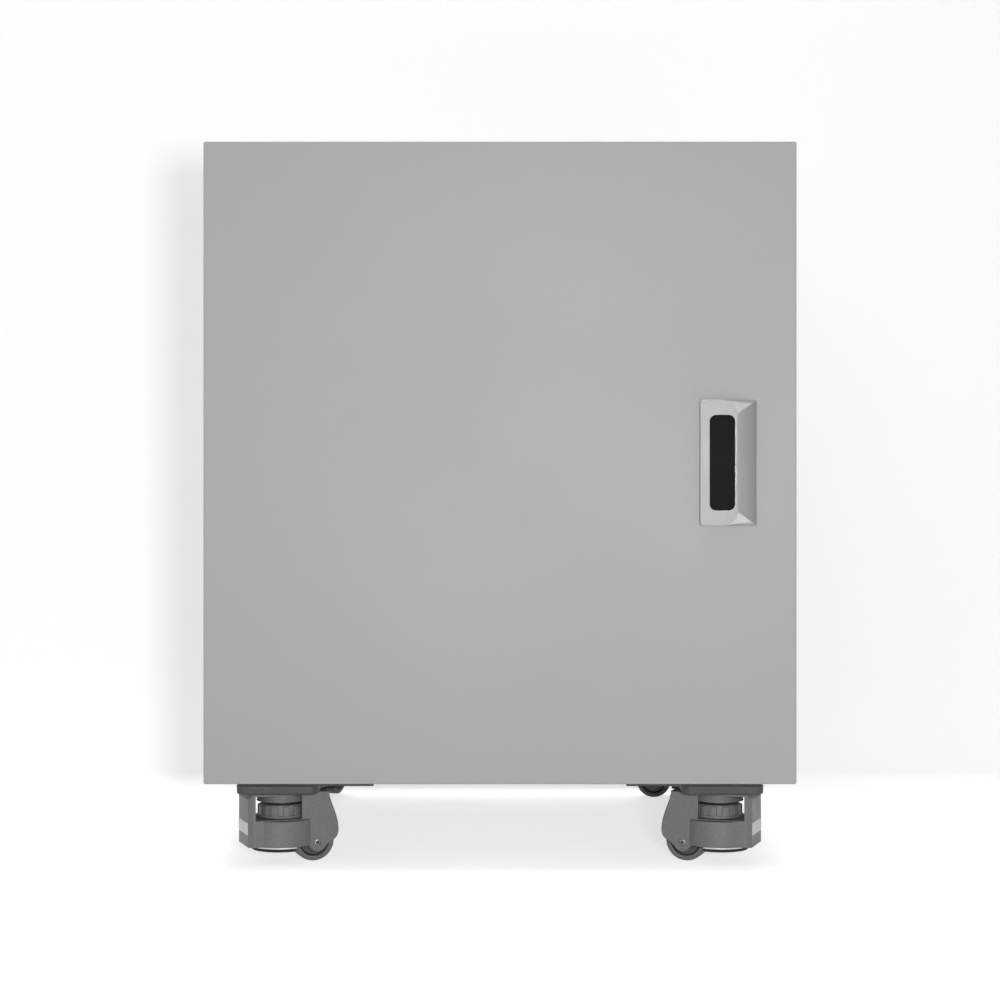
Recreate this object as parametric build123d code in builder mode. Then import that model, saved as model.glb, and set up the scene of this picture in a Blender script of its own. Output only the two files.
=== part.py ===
"""Battery cabinet on levelling casters: a 12-unit, 19-inch rack enclosure for four battery modules.

Frame: origin on the floor under the middle of the cabinet, +Z up, the door faces -Y. Sizes in millimetres.
"""

import os

from build123d import *

os.makedirs("parts", exist_ok=True)

# ---------------------------------------------------------------------------------------------
# Driving dimensions
# ---------------------------------------------------------------------------------------------
WIDTH = 600.0
HEIGHT = 650.0  # sheet metal body, without the casters
DEPTH = 598.0  # door face to rear panel
SHEET = 1.5
UNDERSIDE = 90.0  # height of the body's underside above the floor
HANDLE_PROUD = 13.0  # the latch bezel stands this far off the door
SCREW_HEAD = 2.0  # height of the screw heads on the rear panel

SEATED = (Align.CENTER, Align.CENTER, Align.MIN)  # a round body stands on its place

HALF = WIDTH / 2
TOP = UNDERSIDE + HEIGHT
MIDDLE = UNDERSIDE + HEIGHT / 2
OVERALL_DEPTH = HANDLE_PROUD + DEPTH + SCREW_HEAD
DOOR_FACE = HANDLE_PROUD - OVERALL_DEPTH / 2  # Y of the door's front face
REAR = OVERALL_DEPTH / 2 - SCREW_HEAD  # Y of the rear panel's outer face

DOOR_DEPTH = 22.0
DOOR_GAP = 3.0
DOOR_INSIDE = DOOR_FACE + SHEET
BODY_FRONT = DOOR_FACE + DOOR_DEPTH + DOOR_GAP  # Y of the front frame's flange
INNER = HALF - SHEET  # X of the side panels' inner faces
FLOOR_TOP = UNDERSIDE + SHEET
ROOF = TOP - SHEET

RACK_UNIT = 44.45
BAY = 3 * RACK_UNIT
BAYS = 4
STACK_BOTTOM = MIDDLE - BAYS * BAY / 2
RAIL_FRONT = BODY_FRONT + 63.5  # Y of the front rack rails' face
RAIL_REAR = RAIL_FRONT + 435.0

CASTER_X = 229.0
CASTER_SETBACK = 70.0
CASTERS = {  # swivel centre and the direction of the wheel, in degrees from +X
    "front_left": (-CASTER_X, DOOR_FACE + CASTER_SETBACK, 20.0),
    "front_right": (CASTER_X, DOOR_FACE + CASTER_SETBACK, 160.0),
    "rear_left": (-CASTER_X, REAR - CASTER_SETBACK, 68.0),
    "rear_right": (CASTER_X, REAR - CASTER_SETBACK, 172.0),
}


def save(part, name):
    """Labels one finished piece, or group of like pieces, and writes it."""
    part.label = name
    export_step(part, f"parts/{name}.step")


def box(x, y, z, mode=Mode.ADD):
    """A box between two X, two Y and two Z values, inside the open part."""
    centre = ((x[0] + x[1]) / 2, (y[0] + y[1]) / 2, (z[0] + z[1]) / 2)
    with Locations(centre):
        Box(x[1] - x[0], y[1] - y[0], z[1] - z[0], mode=mode)


def copies(part, *locations):
    """The same piece at several places, as one group of separate solids."""
    with BuildPart() as group:
        with Locations(*locations):
            add(part)
    return group.part


# ---------------------------------------------------------------------------------------------
# Body: base pan, top cover, side panels, front frame, rear panel and gland plate
# ---------------------------------------------------------------------------------------------
PAN_FLANGE = 30.0
GLAND_RECESS = 20.0
GLAND_TOP = UNDERSIDE + 62.0
GLAND_FACE = REAR - GLAND_RECESS
REAR_SHEET = REAR - SHEET
FRAME_BACK = BODY_FRONT + SHEET
CASTER_BOLT = 62.0  # square pattern of the caster plates

with BuildPart() as base_pan:
    box((-INNER, INNER), (FRAME_BACK, GLAND_FACE - SHEET), (UNDERSIDE, UNDERSIDE + PAN_FLANGE))
    box(
        (-INNER + SHEET, INNER - SHEET),
        (FRAME_BACK + SHEET, GLAND_FACE),
        (FLOOR_TOP, UNDERSIDE + PAN_FLANGE),
        Mode.SUBTRACT,
    )
    box((-INNER, INNER), (GLAND_FACE - SHEET, REAR_SHEET), (UNDERSIDE, FLOOR_TOP))
    for x, y, heading in CASTERS.values():
        with Locations((x, y, UNDERSIDE)):
            with GridLocations(CASTER_BOLT, CASTER_BOLT, 2, 2):
                Cylinder(4.25, 4 * SHEET, mode=Mode.SUBTRACT)
save(base_pan.part, "base_pan")

ROOF_FLANGE = 25.0  # depth of the cover's folded flanges
with BuildPart() as top_cover:
    box((-HALF, HALF), (BODY_FRONT, REAR), (ROOF, TOP))
    fillet(top_cover.edges().filter_by(Axis.Y).group_by(Axis.Z)[-1], radius=1.2)
    box((-INNER, INNER), (FRAME_BACK, REAR_SHEET), (TOP - ROOF_FLANGE, ROOF))
    box(
        (SHEET - INNER, INNER - SHEET),
        (FRAME_BACK + SHEET, REAR_SHEET - SHEET),
        (TOP - ROOF_FLANGE, ROOF),
        Mode.SUBTRACT,
    )
save(top_cover.part, "top_cover")

VENT_LENGTH = 62.0
VENT_WIDTH = 5.0
VENT_COLUMNS = 3
VENT_ROWS = 5
VENT_PITCH = 13.0
REAR_FLANGE = 18.0
VENT_BANKS = (UNDERSIDE + 110, TOP - 110)  # heights of the lower and upper bank


def side_panel(side):
    """One side wall with a folded rear flange and two banks of vent slots; side is -1 or 1."""
    outer = side * HALF
    inner = side * INNER
    x = (min(outer, inner), max(outer, inner))
    flange = sorted((inner, inner - side * REAR_FLANGE))
    with BuildPart() as panel:
        box(x, (BODY_FRONT, REAR), (UNDERSIDE, ROOF))
        fillet(panel.edges().filter_by(Axis.Z).sort_by(Axis.X)[:: -side][:2], radius=1.2)
        box(flange, (REAR_SHEET - SHEET, REAR_SHEET), (GLAND_TOP + 2 * SHEET, TOP - 25))
        for bank in VENT_BANKS:
            with BuildSketch(Plane.YZ.offset(inner - side)) as vents:
                with Locations(((BODY_FRONT + REAR) / 2, bank)):
                    with GridLocations(VENT_LENGTH + 26, VENT_PITCH, VENT_COLUMNS, VENT_ROWS):
                        SlotOverall(VENT_LENGTH, VENT_WIDTH)
            extrude(amount=4 * SHEET * side, mode=Mode.SUBTRACT)
    return panel.part


save(side_panel(-1), "side_panel_left")
save(side_panel(1), "side_panel_right")

MOUTH_X = HALF - 36.0  # half width of the front opening
MOUTH_Z = HEIGHT / 2 - 36.0
LIP = 13.5
LIP_FRONT = BODY_FRONT - LIP

with BuildPart() as front_frame:
    with BuildSketch(Plane.XZ.offset(-FRAME_BACK)) as flange:
        with Locations((0, MIDDLE)):
            Rectangle(2 * INNER, HEIGHT - 2 * SHEET)
            Rectangle(2 * MOUTH_X, 2 * MOUTH_Z, mode=Mode.SUBTRACT)
    extrude(amount=SHEET)
    with BuildSketch(Plane.XZ.offset(-BODY_FRONT)) as rain_lip:
        with Locations((0, MIDDLE)):
            RectangleRounded(2 * (MOUTH_X + SHEET), 2 * (MOUTH_Z + SHEET), 5)
            RectangleRounded(2 * MOUTH_X, 2 * MOUTH_Z, 3.5, mode=Mode.SUBTRACT)
    extrude(amount=LIP)
save(front_frame.part, "front_frame")

REAR_VENT_COLUMNS = 4
SCREW_X = HALF - 10.0
SCREW_ZS = [GLAND_TOP + 25 + i * (TOP - GLAND_TOP - 62) / 3 for i in range(4)]

with BuildPart() as rear_panel:
    box((-INNER, INNER), (REAR_SHEET, REAR), (GLAND_TOP, ROOF))
    box((-INNER, INNER), (GLAND_FACE, REAR_SHEET), (GLAND_TOP, GLAND_TOP + SHEET))
    for bank in VENT_BANKS:
        with BuildSketch(Plane.XZ.offset(-REAR)) as rear_vents:
            with Locations((0, bank + 20 if bank < MIDDLE else bank)):
                with GridLocations(VENT_LENGTH + 26, VENT_PITCH, REAR_VENT_COLUMNS, VENT_ROWS):
                    SlotOverall(VENT_LENGTH, VENT_WIDTH)
        extrude(amount=2 * SHEET, mode=Mode.SUBTRACT)
save(rear_panel.part, "rear_panel")

with BuildPart() as screw:
    with Locations(Location((0, 0, 0), (-90, 0, 0))):
        Cylinder(4.5, SCREW_HEAD, align=SEATED)
    fillet(screw.faces().sort_by(Axis.Y)[-1].edges(), radius=1.2)
screw_places = [(side * SCREW_X, REAR, z) for side in (-1, 1) for z in SCREW_ZS]
save(copies(screw.part, *screw_places), "panel_screws")

# The gland plate closes the recess under the rear panel. Power leads leave through two rubber grommets.
GROMMET_R = 24.0
GROMMET_BORE = 18.0
GROMMET_LENGTH = 12.0
GROMMET_XS = (-120.0, 120.0)
GLAND_Z = UNDERSIDE + 34.0

STUD_R = 4.0
STUD_LENGTH = 16.0
STUD_COLLAR_R = 4.8  # the part of the stud that is pressed into the plate

with BuildPart() as gland_plate:
    box((-INNER, INNER), (GLAND_FACE - SHEET, GLAND_FACE), (FLOOR_TOP, GLAND_TOP + SHEET))
    box((-INNER, INNER), (GLAND_FACE - SHEET - 14, GLAND_FACE - SHEET), (GLAND_TOP, GLAND_TOP + SHEET))
    with BuildSketch(Plane.XZ.offset(-GLAND_FACE)) as gland_holes:
        with Locations(*[(x, GLAND_Z) for x in GROMMET_XS]):
            Circle(GROMMET_R - 2)
        with Locations((0, GLAND_Z)):
            Circle(STUD_COLLAR_R + 0.1)
    extrude(amount=2 * SHEET, mode=Mode.SUBTRACT)
save(gland_plate.part, "gland_plate")

with BuildPart() as grommet:
    with BuildSketch(Plane.XY) as section:
        with BuildLine():
            Polyline(
                (GROMMET_BORE, -GROMMET_LENGTH / 2),
                (GROMMET_BORE, GROMMET_LENGTH / 2),
                (GROMMET_R - 1.5, GROMMET_LENGTH / 2),
                (GROMMET_R, GROMMET_LENGTH / 2 - 2),
                (GROMMET_R, SHEET / 2),
                (GROMMET_R - 2, SHEET / 2),
                (GROMMET_R - 2, -SHEET / 2),
                (GROMMET_R, -SHEET / 2),
                (GROMMET_R, 2 - GROMMET_LENGTH / 2),
                (GROMMET_R - 1.5, -GROMMET_LENGTH / 2),
                close=True,
            )
        make_face()
    revolve(axis=Axis.Y)
grommet_places = [(x, GLAND_FACE - SHEET / 2, GLAND_Z) for x in GROMMET_XS]
save(copies(grommet.part, *grommet_places), "cable_grommets")

with BuildPart() as ground_stud:
    with Locations(Location((0, GLAND_FACE, GLAND_Z), (-90, 0, 0))):
        Cylinder(STUD_R, STUD_LENGTH, align=SEATED)
        Cylinder(STUD_COLLAR_R, SHEET, align=(Align.CENTER, Align.CENTER, Align.MAX))
    with BuildSketch(Plane.XZ.offset(SHEET - GLAND_FACE)) as weld_nut:
        with Locations((0, GLAND_Z)):
            RegularPolygon(7.5, 6)
    extrude(amount=6)
save(ground_stud.part, "ground_stud")


# ---------------------------------------------------------------------------------------------
# Rack rails, runners and the four battery modules
# ---------------------------------------------------------------------------------------------
RAIL_SHEET = 2.0
RAIL_MOUTH = 225.4  # half width between the rails, for 19-inch equipment
RAIL_WEB = 250.0  # outer X of the rail's fore-and-aft web
RAIL_DEPTH = 40.0
RACK_HOLE_X = 232.55
RACK_HOLE = 9.5
RAIL_LOW = UNDERSIDE + PAN_FLANGE + 1.0
RAIL_HIGH = TOP - 26.0


def rack_rails(face, inward):
    """The left and right rails with their face at Y = face; inward is the Y direction into the rack."""
    ys = {
        "face": sorted((face, face + inward * RAIL_SHEET)),
        "web": sorted((face, face + inward * RAIL_DEPTH)),
        "back": sorted((face + inward * (RAIL_DEPTH - RAIL_SHEET), face + inward * RAIL_DEPTH)),
        "tab": sorted((face + inward * (RAIL_DEPTH - RAIL_SHEET), face + inward * (RAIL_DEPTH + 16))),
    }
    with BuildPart() as rails:
        box((RAIL_MOUTH, RAIL_WEB), ys["face"], (FLOOR_TOP, ROOF))
        box((RAIL_WEB - RAIL_SHEET, RAIL_WEB), ys["web"], (FLOOR_TOP, ROOF))
        box((RAIL_WEB, INNER), ys["back"], (RAIL_LOW, RAIL_HIGH))
        box((INNER - RAIL_SHEET, INNER), ys["tab"], (RAIL_LOW, RAIL_HIGH))
        unit_holes = [(RACK_HOLE_X, face, STACK_BOTTOM + (i + 0.5) * RACK_UNIT) for i in range(3 * BAYS)]
        with Locations(*unit_holes):
            with Locations(*[(0, 0, z) for z in (-15.875, 0, 15.875)]):
                Box(RACK_HOLE, 3 * RAIL_SHEET, RACK_HOLE, mode=Mode.SUBTRACT)
        mirror(about=Plane.YZ)
    return rails.part


save(rack_rails(RAIL_FRONT, 1), "rack_rails_front")
save(rack_rails(RAIL_REAR, -1), "rack_rails_rear")

MODULE_HALF = 221.0
MODULE_DEPTH = 420.0
MODULE_SHEET = 1.5
FASCIA = 3.0
FASCIA_HEIGHT = BAY - 0.85
RUNNER_LOW = 2.0  # runner's underside above the bay's floor
CASE_LOW = RUNNER_LOW + 1.5
CASE_HIGH = BAY - 1.5
BAY_FLOORS = [STACK_BOTTOM + i * BAY for i in range(BAYS)]
FASCIA_FACE = RAIL_FRONT - FASCIA

with BuildPart() as runner:
    runner_y = (RAIL_FRONT + RAIL_SHEET + 0.5, RAIL_REAR - RAIL_SHEET - 0.5)
    wall = RAIL_WEB - RAIL_SHEET
    box((MODULE_HALF - 16, wall), runner_y, (RUNNER_LOW, CASE_LOW))
    box((wall - 1.5, wall), runner_y, (CASE_LOW, RUNNER_LOW + 30))
    mirror(about=Plane.YZ)
save(copies(runner.part, *[(0, 0, z) for z in BAY_FLOORS]), "module_runners")

FRONT_POCKET = 26.0  # room behind the fascia for the breaker and the terminals
with BuildPart() as module_case:
    case_y = (RAIL_FRONT, RAIL_FRONT + MODULE_DEPTH)
    box((-MODULE_HALF, MODULE_HALF), case_y, (CASE_LOW, CASE_HIGH))
    box(
        (MODULE_SHEET - MODULE_HALF, MODULE_HALF - MODULE_SHEET),
        (case_y[0], case_y[1] - MODULE_SHEET),
        (CASE_LOW + MODULE_SHEET, CASE_HIGH - MODULE_SHEET),
        Mode.SUBTRACT,
    )
save(copies(module_case.part, *[(0, 0, z) for z in BAY_FLOORS]), "module_cases")

CELL = (48.0, 173.0, 118.0)
CELLS_ACROSS = 8
with BuildPart() as cells:
    cell_places = []
    for row in range(2):
        for column in range(CELLS_ACROSS - row):
            cell_x = (column - (CELLS_ACROSS - 1) / 2) * (CELL[0] + 2)
            cell_y = RAIL_FRONT + FRONT_POCKET + 4 + CELL[1] / 2 + row * (CELL[1] + 10)
            cell_places.append((cell_x, cell_y, CASE_LOW + MODULE_SHEET + CELL[2] / 2))
    with Locations(*cell_places):
        Box(*CELL)
save(copies(cells.part, *[(0, 0, z) for z in BAY_FLOORS]), "battery_cells")

BREAKER_X = 140.0
BREAKER_SIZE = (35.0, 66.0)
TERMINAL_XS = (-165.0, -125.0, -85.0, -45.0)
TERMINAL_Z = -24.0
PORTS = (70.0, 14.0)
PORTS_PLACE = (20.0, -24.0)
HANDLE_X = 205.0

with BuildPart() as fascia:
    with BuildSketch(Plane.XZ.offset(-RAIL_FRONT)) as fascia_outline:
        RectangleRounded(482.6, FASCIA_HEIGHT, 2)
        with GridLocations(2 * RACK_HOLE_X, 2 * 57.15, 2, 2):
            Rectangle(10, 6.6, mode=Mode.SUBTRACT)
        with Locations((BREAKER_X, 0)):
            Rectangle(BREAKER_SIZE[0] + 0.6, BREAKER_SIZE[1] + 0.6, mode=Mode.SUBTRACT)
        with Locations(PORTS_PLACE):
            Rectangle(*PORTS, mode=Mode.SUBTRACT)
        with Locations((-60, 34)):
            with GridLocations(22, 9, 10, 3):
                Rectangle(17, 3.5, mode=Mode.SUBTRACT)
    extrude(amount=FASCIA)
_bay_middles = [(0, 0, z + BAY / 2) for z in BAY_FLOORS]
save(copies(fascia.part, *_bay_middles), "module_fascias")

HANDLE_REACH = 34.0
with BuildPart() as pull:
    with BuildLine() as pull_path:
        FilletPolyline(
            (HANDLE_X, FASCIA_FACE, -42),
            (HANDLE_X, FASCIA_FACE - HANDLE_REACH, -42),
            (HANDLE_X, FASCIA_FACE - HANDLE_REACH, 42),
            (HANDLE_X, FASCIA_FACE, 42),
            radius=12,
        )
    with BuildSketch(Plane(origin=(HANDLE_X, FASCIA_FACE, -42), z_dir=(0, -1, 0))) as pull_section:
        Circle(4)
    sweep()
    mirror(about=Plane.YZ)
save(copies(pull.part, *_bay_middles), "module_handles")

with BuildPart() as terminal:
    with Locations(Location((0, FASCIA_FACE, TERMINAL_Z), (90, 0, 0))):
        Cylinder(13, 7, align=SEATED)
        Cylinder(9, 16, align=SEATED)
        Cylinder(4, 24, align=SEATED)
_terminal_places = [(x, 0, z) for x in TERMINAL_XS for _, _, z in _bay_middles]
save(copies(terminal.part, *_terminal_places), "module_terminals")

BREAKER_FRONT = FASCIA_FACE - 5.0
LEVER_AXIS_Y = BREAKER_FRONT + 7.5
LEVER_R = 7.0
LEVER_HALF = 6.0
LEVER_LEAN = 28.0  # degrees above level in the closed-circuit position
PIN_R = 1.5
RUNNING = 0.05

with BuildPart() as breaker:
    half = BREAKER_SIZE[0] / 2
    box((-half, half), (BREAKER_FRONT, RAIL_FRONT + 22), (-BREAKER_SIZE[1] / 2, BREAKER_SIZE[1] / 2))
    fillet(breaker.faces().sort_by(Axis.Y)[0].edges(), radius=1.0)
    box((-LEVER_HALF - 0.5, LEVER_HALF + 0.5), (BREAKER_FRONT, LEVER_AXIS_Y + 9), (-9, 9), Mode.SUBTRACT)
    with Locations(Location((0, LEVER_AXIS_Y, 0), (0, 90, 0))):
        Cylinder(PIN_R + RUNNING, 22, mode=Mode.SUBTRACT)
breaker_places = [(BREAKER_X, 0, z) for _, _, z in _bay_middles]
save(copies(breaker.part, *breaker_places), "breaker_bodies")

with BuildPart() as lever:
    with BuildSketch(Plane.YZ.offset(-LEVER_HALF)) as lever_section:
        Circle(LEVER_R)
        with BuildLine():
            Polyline((0, 4.5), (-19, 2.5), (-21, 1), (-21, -1), (-19, -2.5), (0, -4.5), close=True)
        make_face()
    extrude(amount=2 * LEVER_HALF)
    with Locations(Location((0, 0, 0), (0, 90, 0))):
        Cylinder(PIN_R, 21)
for number, place in enumerate(breaker_places, start=1):
    placed = copies(lever.part, Location((place[0], LEVER_AXIS_Y, place[2]), (-LEVER_LEAN, 0, 0)))
    save(placed, f"breaker_lever_{number}")

# ---------------------------------------------------------------------------------------------
# Copper busbars beside the rack, on ribbed insulators that stand on the front rails
# ---------------------------------------------------------------------------------------------
BUSBAR_X = 274.0
BUSBAR = (26.0, 6.0, 440.0)
INSULATOR_BASE = RAIL_FRONT + RAIL_DEPTH - RAIL_SHEET
INSULATOR_LENGTH = 26.0
BAR_BOLT_R = 4.0
BAR_BOLT_ZS = [MIDDLE - 175, MIDDLE, MIDDLE + 175]
BAR_BACK = INSULATOR_BASE - INSULATOR_LENGTH

with BuildPart() as busbars:
    with Locations((BUSBAR_X, BAR_BACK - BUSBAR[1] / 2, MIDDLE)):
        Box(*BUSBAR)
    with Locations(*[Location((BUSBAR_X, BAR_BACK, z), (90, 0, 0)) for z in BAR_BOLT_ZS]):
        Cylinder(BAR_BOLT_R + 0.5, 3 * BUSBAR[1], mode=Mode.SUBTRACT)
    mirror(about=Plane.YZ)
save(busbars.part, "busbars")

with BuildPart() as insulator:
    with BuildSketch(Plane.XY) as insulator_section:
        with BuildLine():
            Polyline((0, 0), (11, 0), (11, 3), (8.5, 5), (11, 7.5), (11, 10), (8.5, 12.5), (11, 15), (11, 18))
            Polyline((11, 18), (8.5, 20.5), (10, 23), (10, INSULATOR_LENGTH), (BAR_BOLT_R, INSULATOR_LENGTH))
            Polyline((BAR_BOLT_R, INSULATOR_LENGTH), (BAR_BOLT_R, INSULATOR_LENGTH + 14))
            Polyline((BAR_BOLT_R, INSULATOR_LENGTH + 14), (0, INSULATOR_LENGTH + 14), (0, 0))
        make_face()
    revolve(axis=Axis.Y)
    with BuildSketch(Plane.XZ.offset(-INSULATOR_LENGTH - BUSBAR[1])) as nut:
        RegularPolygon(7.5, 6)
    extrude(amount=-6)
insulators = [Location((s * BUSBAR_X, INSULATOR_BASE, z), (0, 0, 180)) for s in (-1, 1) for z in BAR_BOLT_ZS]
save(copies(insulator.part, *insulators), "busbar_insulators")

# ---------------------------------------------------------------------------------------------
# Door: full-overlay pan on two hidden hinges, with stiffeners, a foam gasket and the latch
# ---------------------------------------------------------------------------------------------
HINGE_X = 8.0 - HALF
HINGE_Y = DOOR_FACE + 8.0
HINGE_ZS = (MIDDLE - 230.0, MIDDLE + 230.0)
DOOR_BACK = DOOR_FACE + DOOR_DEPTH
LATCH_X = 230.3
LATCH_CASE_X = (207.0, 257.0)
LATCH_CASE_HALF = 53.0
HANDLE_WIDTH = 57.6
HANDLE_HEIGHT = 126.8
HANDLE_FACE = DOOR_FACE - HANDLE_PROUD

with BuildPart() as door_panel:
    box((-HALF, HALF), (DOOR_FACE, DOOR_BACK), (UNDERSIDE, TOP))
    fillet(door_panel.edges().filter_by(Axis.Y), radius=2.0)
    fillet(door_panel.faces().sort_by(Axis.Y)[0].edges(), radius=1.2)
    box((-INNER, INNER), (DOOR_INSIDE, DOOR_BACK), (UNDERSIDE + SHEET, TOP - SHEET), Mode.SUBTRACT)
    with BuildSketch(Plane.XZ.offset(-DOOR_INSIDE)) as latch_cutout:
        with Locations((sum(LATCH_CASE_X) / 2, MIDDLE)):
            Rectangle(LATCH_CASE_X[1] - LATCH_CASE_X[0] + 1, 2 * LATCH_CASE_HALF + 1)
    extrude(amount=2 * SHEET, mode=Mode.SUBTRACT)
save(door_panel.part, "door_panel")

# Two folded hat sections, spot-welded to the inside of the door.
STIFFENER_ZS = (MIDDLE - 165.0, MIDDLE + 165.0)
HAT_DEPTH = 9.0
with BuildPart() as stiffener:
    with BuildSketch(Plane.YZ) as hat:
        with BuildLine():
            hat_line = Polyline(
                (DOOR_INSIDE + 0.5, -32),
                (DOOR_INSIDE + 0.5, -18),
                (DOOR_INSIDE + HAT_DEPTH, -13),
                (DOOR_INSIDE + HAT_DEPTH, 13),
                (DOOR_INSIDE + 0.5, 18),
                (DOOR_INSIDE + 0.5, 32),
            )
            offset(hat_line, amount=0.5, kind=Kind.INTERSECTION)
        make_face()
    extrude(amount=240, both=True)
save(copies(stiffener.part, *[(-10, 0, z) for z in STIFFENER_ZS]), "door_stiffeners")

GASKET_WIDTH = 9.0
GASKET_CLEAR = 0.35
with BuildPart() as door_gasket:
    with BuildSketch(Plane.XZ.offset(-DOOR_INSIDE)) as gasket_ring:
        ring = (2 * (MOUTH_X + GASKET_WIDTH - 4), 2 * (MOUTH_Z + GASKET_WIDTH - 4))
        with Locations((0, MIDDLE)):
            RectangleRounded(*ring, 8)
            RectangleRounded(ring[0] - 2 * GASKET_WIDTH, ring[1] - 2 * GASKET_WIDTH, 3, mode=Mode.SUBTRACT)
    extrude(amount=DOOR_INSIDE - LIP_FRONT + GASKET_CLEAR)
    fillet(door_gasket.faces().sort_by(Axis.Y)[-1].edges(), radius=2.0)
save(door_gasket.part, "door_gasket")

BARREL_R = 4.5
HINGE_PIN_R = 2.0
ARM_HALF = 14.0
ARM = 3.5
ARM_LEG = (17.0, 17.0 + ARM)  # X of the arm's leg from the hinge axis
FLANGE_Y = BODY_FRONT - HINGE_Y

with BuildPart() as hinge_bracket:
    with BuildSketch(Plane.XY.offset(-ARM_HALF)) as gooseneck:
        Circle(BARREL_R)
        with BuildLine():
            Polyline(
                (0, -ARM / 2),
                (ARM_LEG[1], -ARM / 2),
                (ARM_LEG[1], FLANGE_Y),
                (1, FLANGE_Y),
                (1, FLANGE_Y - 0.7),
                (ARM_LEG[0], FLANGE_Y - 0.7),
                (ARM_LEG[0], ARM / 2),
                (0, ARM / 2),
                close=True,
            )
        make_face()
        Circle(HINGE_PIN_R + RUNNING, mode=Mode.SUBTRACT)
    extrude(amount=2 * ARM_HALF)
hinges = [(HINGE_X, HINGE_Y, z) for z in HINGE_ZS]
save(copies(hinge_bracket.part, *hinges), "hinge_brackets")

KNUCKLE = 16.0
with BuildPart() as hinge_leaf:
    with BuildSketch(Plane.XY.offset(-ARM_HALF - 0.4 - KNUCKLE)) as leaf_section:
        Circle(BARREL_R)
        inside = DOOR_INSIDE - HINGE_Y
        edge = -INNER - HINGE_X
        with BuildLine():
            Polyline(
                (BARREL_R, 0),
                (15, inside),
                (edge, inside),
                (edge, 10),
                (edge + SHEET, 10),
                (-BARREL_R, 0),
            )
            Line((-BARREL_R, 0), (BARREL_R, 0))
        make_face()
    extrude(amount=KNUCKLE)
    mirror(about=Plane.XY)
    Cylinder(HINGE_PIN_R, 2 * ARM_HALF + 2)
save(copies(hinge_leaf.part, *hinges), "hinge_leaves")

# The latch: a die-cast bezel and case in one, a spring-return paddle, and the bolt that it draws back.
PADDLE_X = (211.2, 236.0)
PADDLE_HALF = 47.5
PADDLE_R = 6.0
PADDLE_RECESS = 3.0
PADDLE_THICK = 3.5
PADDLE_AXIS_X = PADDLE_X[0] + 2.4
PADDLE_AXIS_Y = HANDLE_FACE + PADDLE_RECESS + PADDLE_THICK
POCKET_FLOOR = HANDLE_FACE + 20.0
BOLT_Y = (FRAME_BACK + 1.0, FRAME_BACK + 9.0)
BOLT_HALF = 9.0
BOLT_X = (226.0, 275.0)
BOLT_THROW = 11.5
CASE_BACK = BOLT_Y[1] + 4.0
RIDGE_X = 240.2
SHOULDER = 4.0
SHOULDER_R = 17.0
BULGE = 10.0  # the slopes are convex: at this height they have run out by BULGE_RUN
BULGE_RUN = 10.5
BULGE_R = 9.5

with BuildPart() as latch_housing:
    bezel_x = (LATCH_X - HANDLE_WIDTH / 2, LATCH_X + HANDLE_WIDTH / 2)
    with BuildSketch(Plane.XZ.offset(-DOOR_FACE)) as bezel_base:
        with Locations((LATCH_X, MIDDLE)):
            RectangleRounded(HANDLE_WIDTH, HANDLE_HEIGHT, 3)
    extrude(amount=SHOULDER)
    with BuildSketch(Plane.XZ.offset(SHOULDER - DOOR_FACE)) as slope_foot:
        with Locations((LATCH_X, MIDDLE)):
            RectangleRounded(HANDLE_WIDTH, HANDLE_HEIGHT, 3)
    with BuildSketch(Plane.XZ.offset(BULGE - DOOR_FACE)) as slope_middle:
        with Locations(((bezel_x[0] + RIDGE_X + BULGE_RUN) / 2, MIDDLE)):
            Rectangle(RIDGE_X + BULGE_RUN - bezel_x[0] - 0.3, HANDLE_HEIGHT - 0.6)
        fillet(slope_middle.vertices().group_by(Axis.X)[0], radius=2.7)
        fillet(slope_middle.vertices().group_by(Axis.X)[-1], radius=BULGE_R)
    with BuildSketch(Plane.XZ.offset(-HANDLE_FACE)) as plateau:
        with Locations(((bezel_x[0] + RIDGE_X) / 2, MIDDLE)):
            Rectangle(RIDGE_X - bezel_x[0] - 0.6, HANDLE_HEIGHT - 1.2)
        fillet(plateau.vertices().group_by(Axis.X)[0], radius=2.4)
        fillet(plateau.vertices().group_by(Axis.X)[-1], radius=SHOULDER_R)
    loft()
    box(LATCH_CASE_X, (DOOR_FACE, CASE_BACK), (MIDDLE - LATCH_CASE_HALF, MIDDLE + LATCH_CASE_HALF))
    with BuildSketch(Plane.XZ.offset(-POCKET_FLOOR)) as paddle_pocket:
        with Locations((sum(PADDLE_X) / 2, MIDDLE)):
            RectangleRounded(PADDLE_X[1] - PADDLE_X[0] + 1, 2 * PADDLE_HALF + 1, PADDLE_R + 0.5)
    extrude(amount=POCKET_FLOOR - HANDLE_FACE + 1, mode=Mode.SUBTRACT)
    with Locations((PADDLE_AXIS_X, PADDLE_AXIS_Y, MIDDLE)):
        Cylinder(PIN_R + RUNNING, 2 * PADDLE_HALF + 8, mode=Mode.SUBTRACT)
    channel_y = (BOLT_Y[0] - 0.25, BOLT_Y[1] + 0.25)
    channel_z = (MIDDLE - BOLT_HALF - 0.25, MIDDLE + BOLT_HALF + 0.25)
    box((BOLT_X[0] - BOLT_THROW - 0.5, LATCH_CASE_X[1] + 1), channel_y, channel_z, Mode.SUBTRACT)
save(latch_housing.part, "latch_housing")

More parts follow.
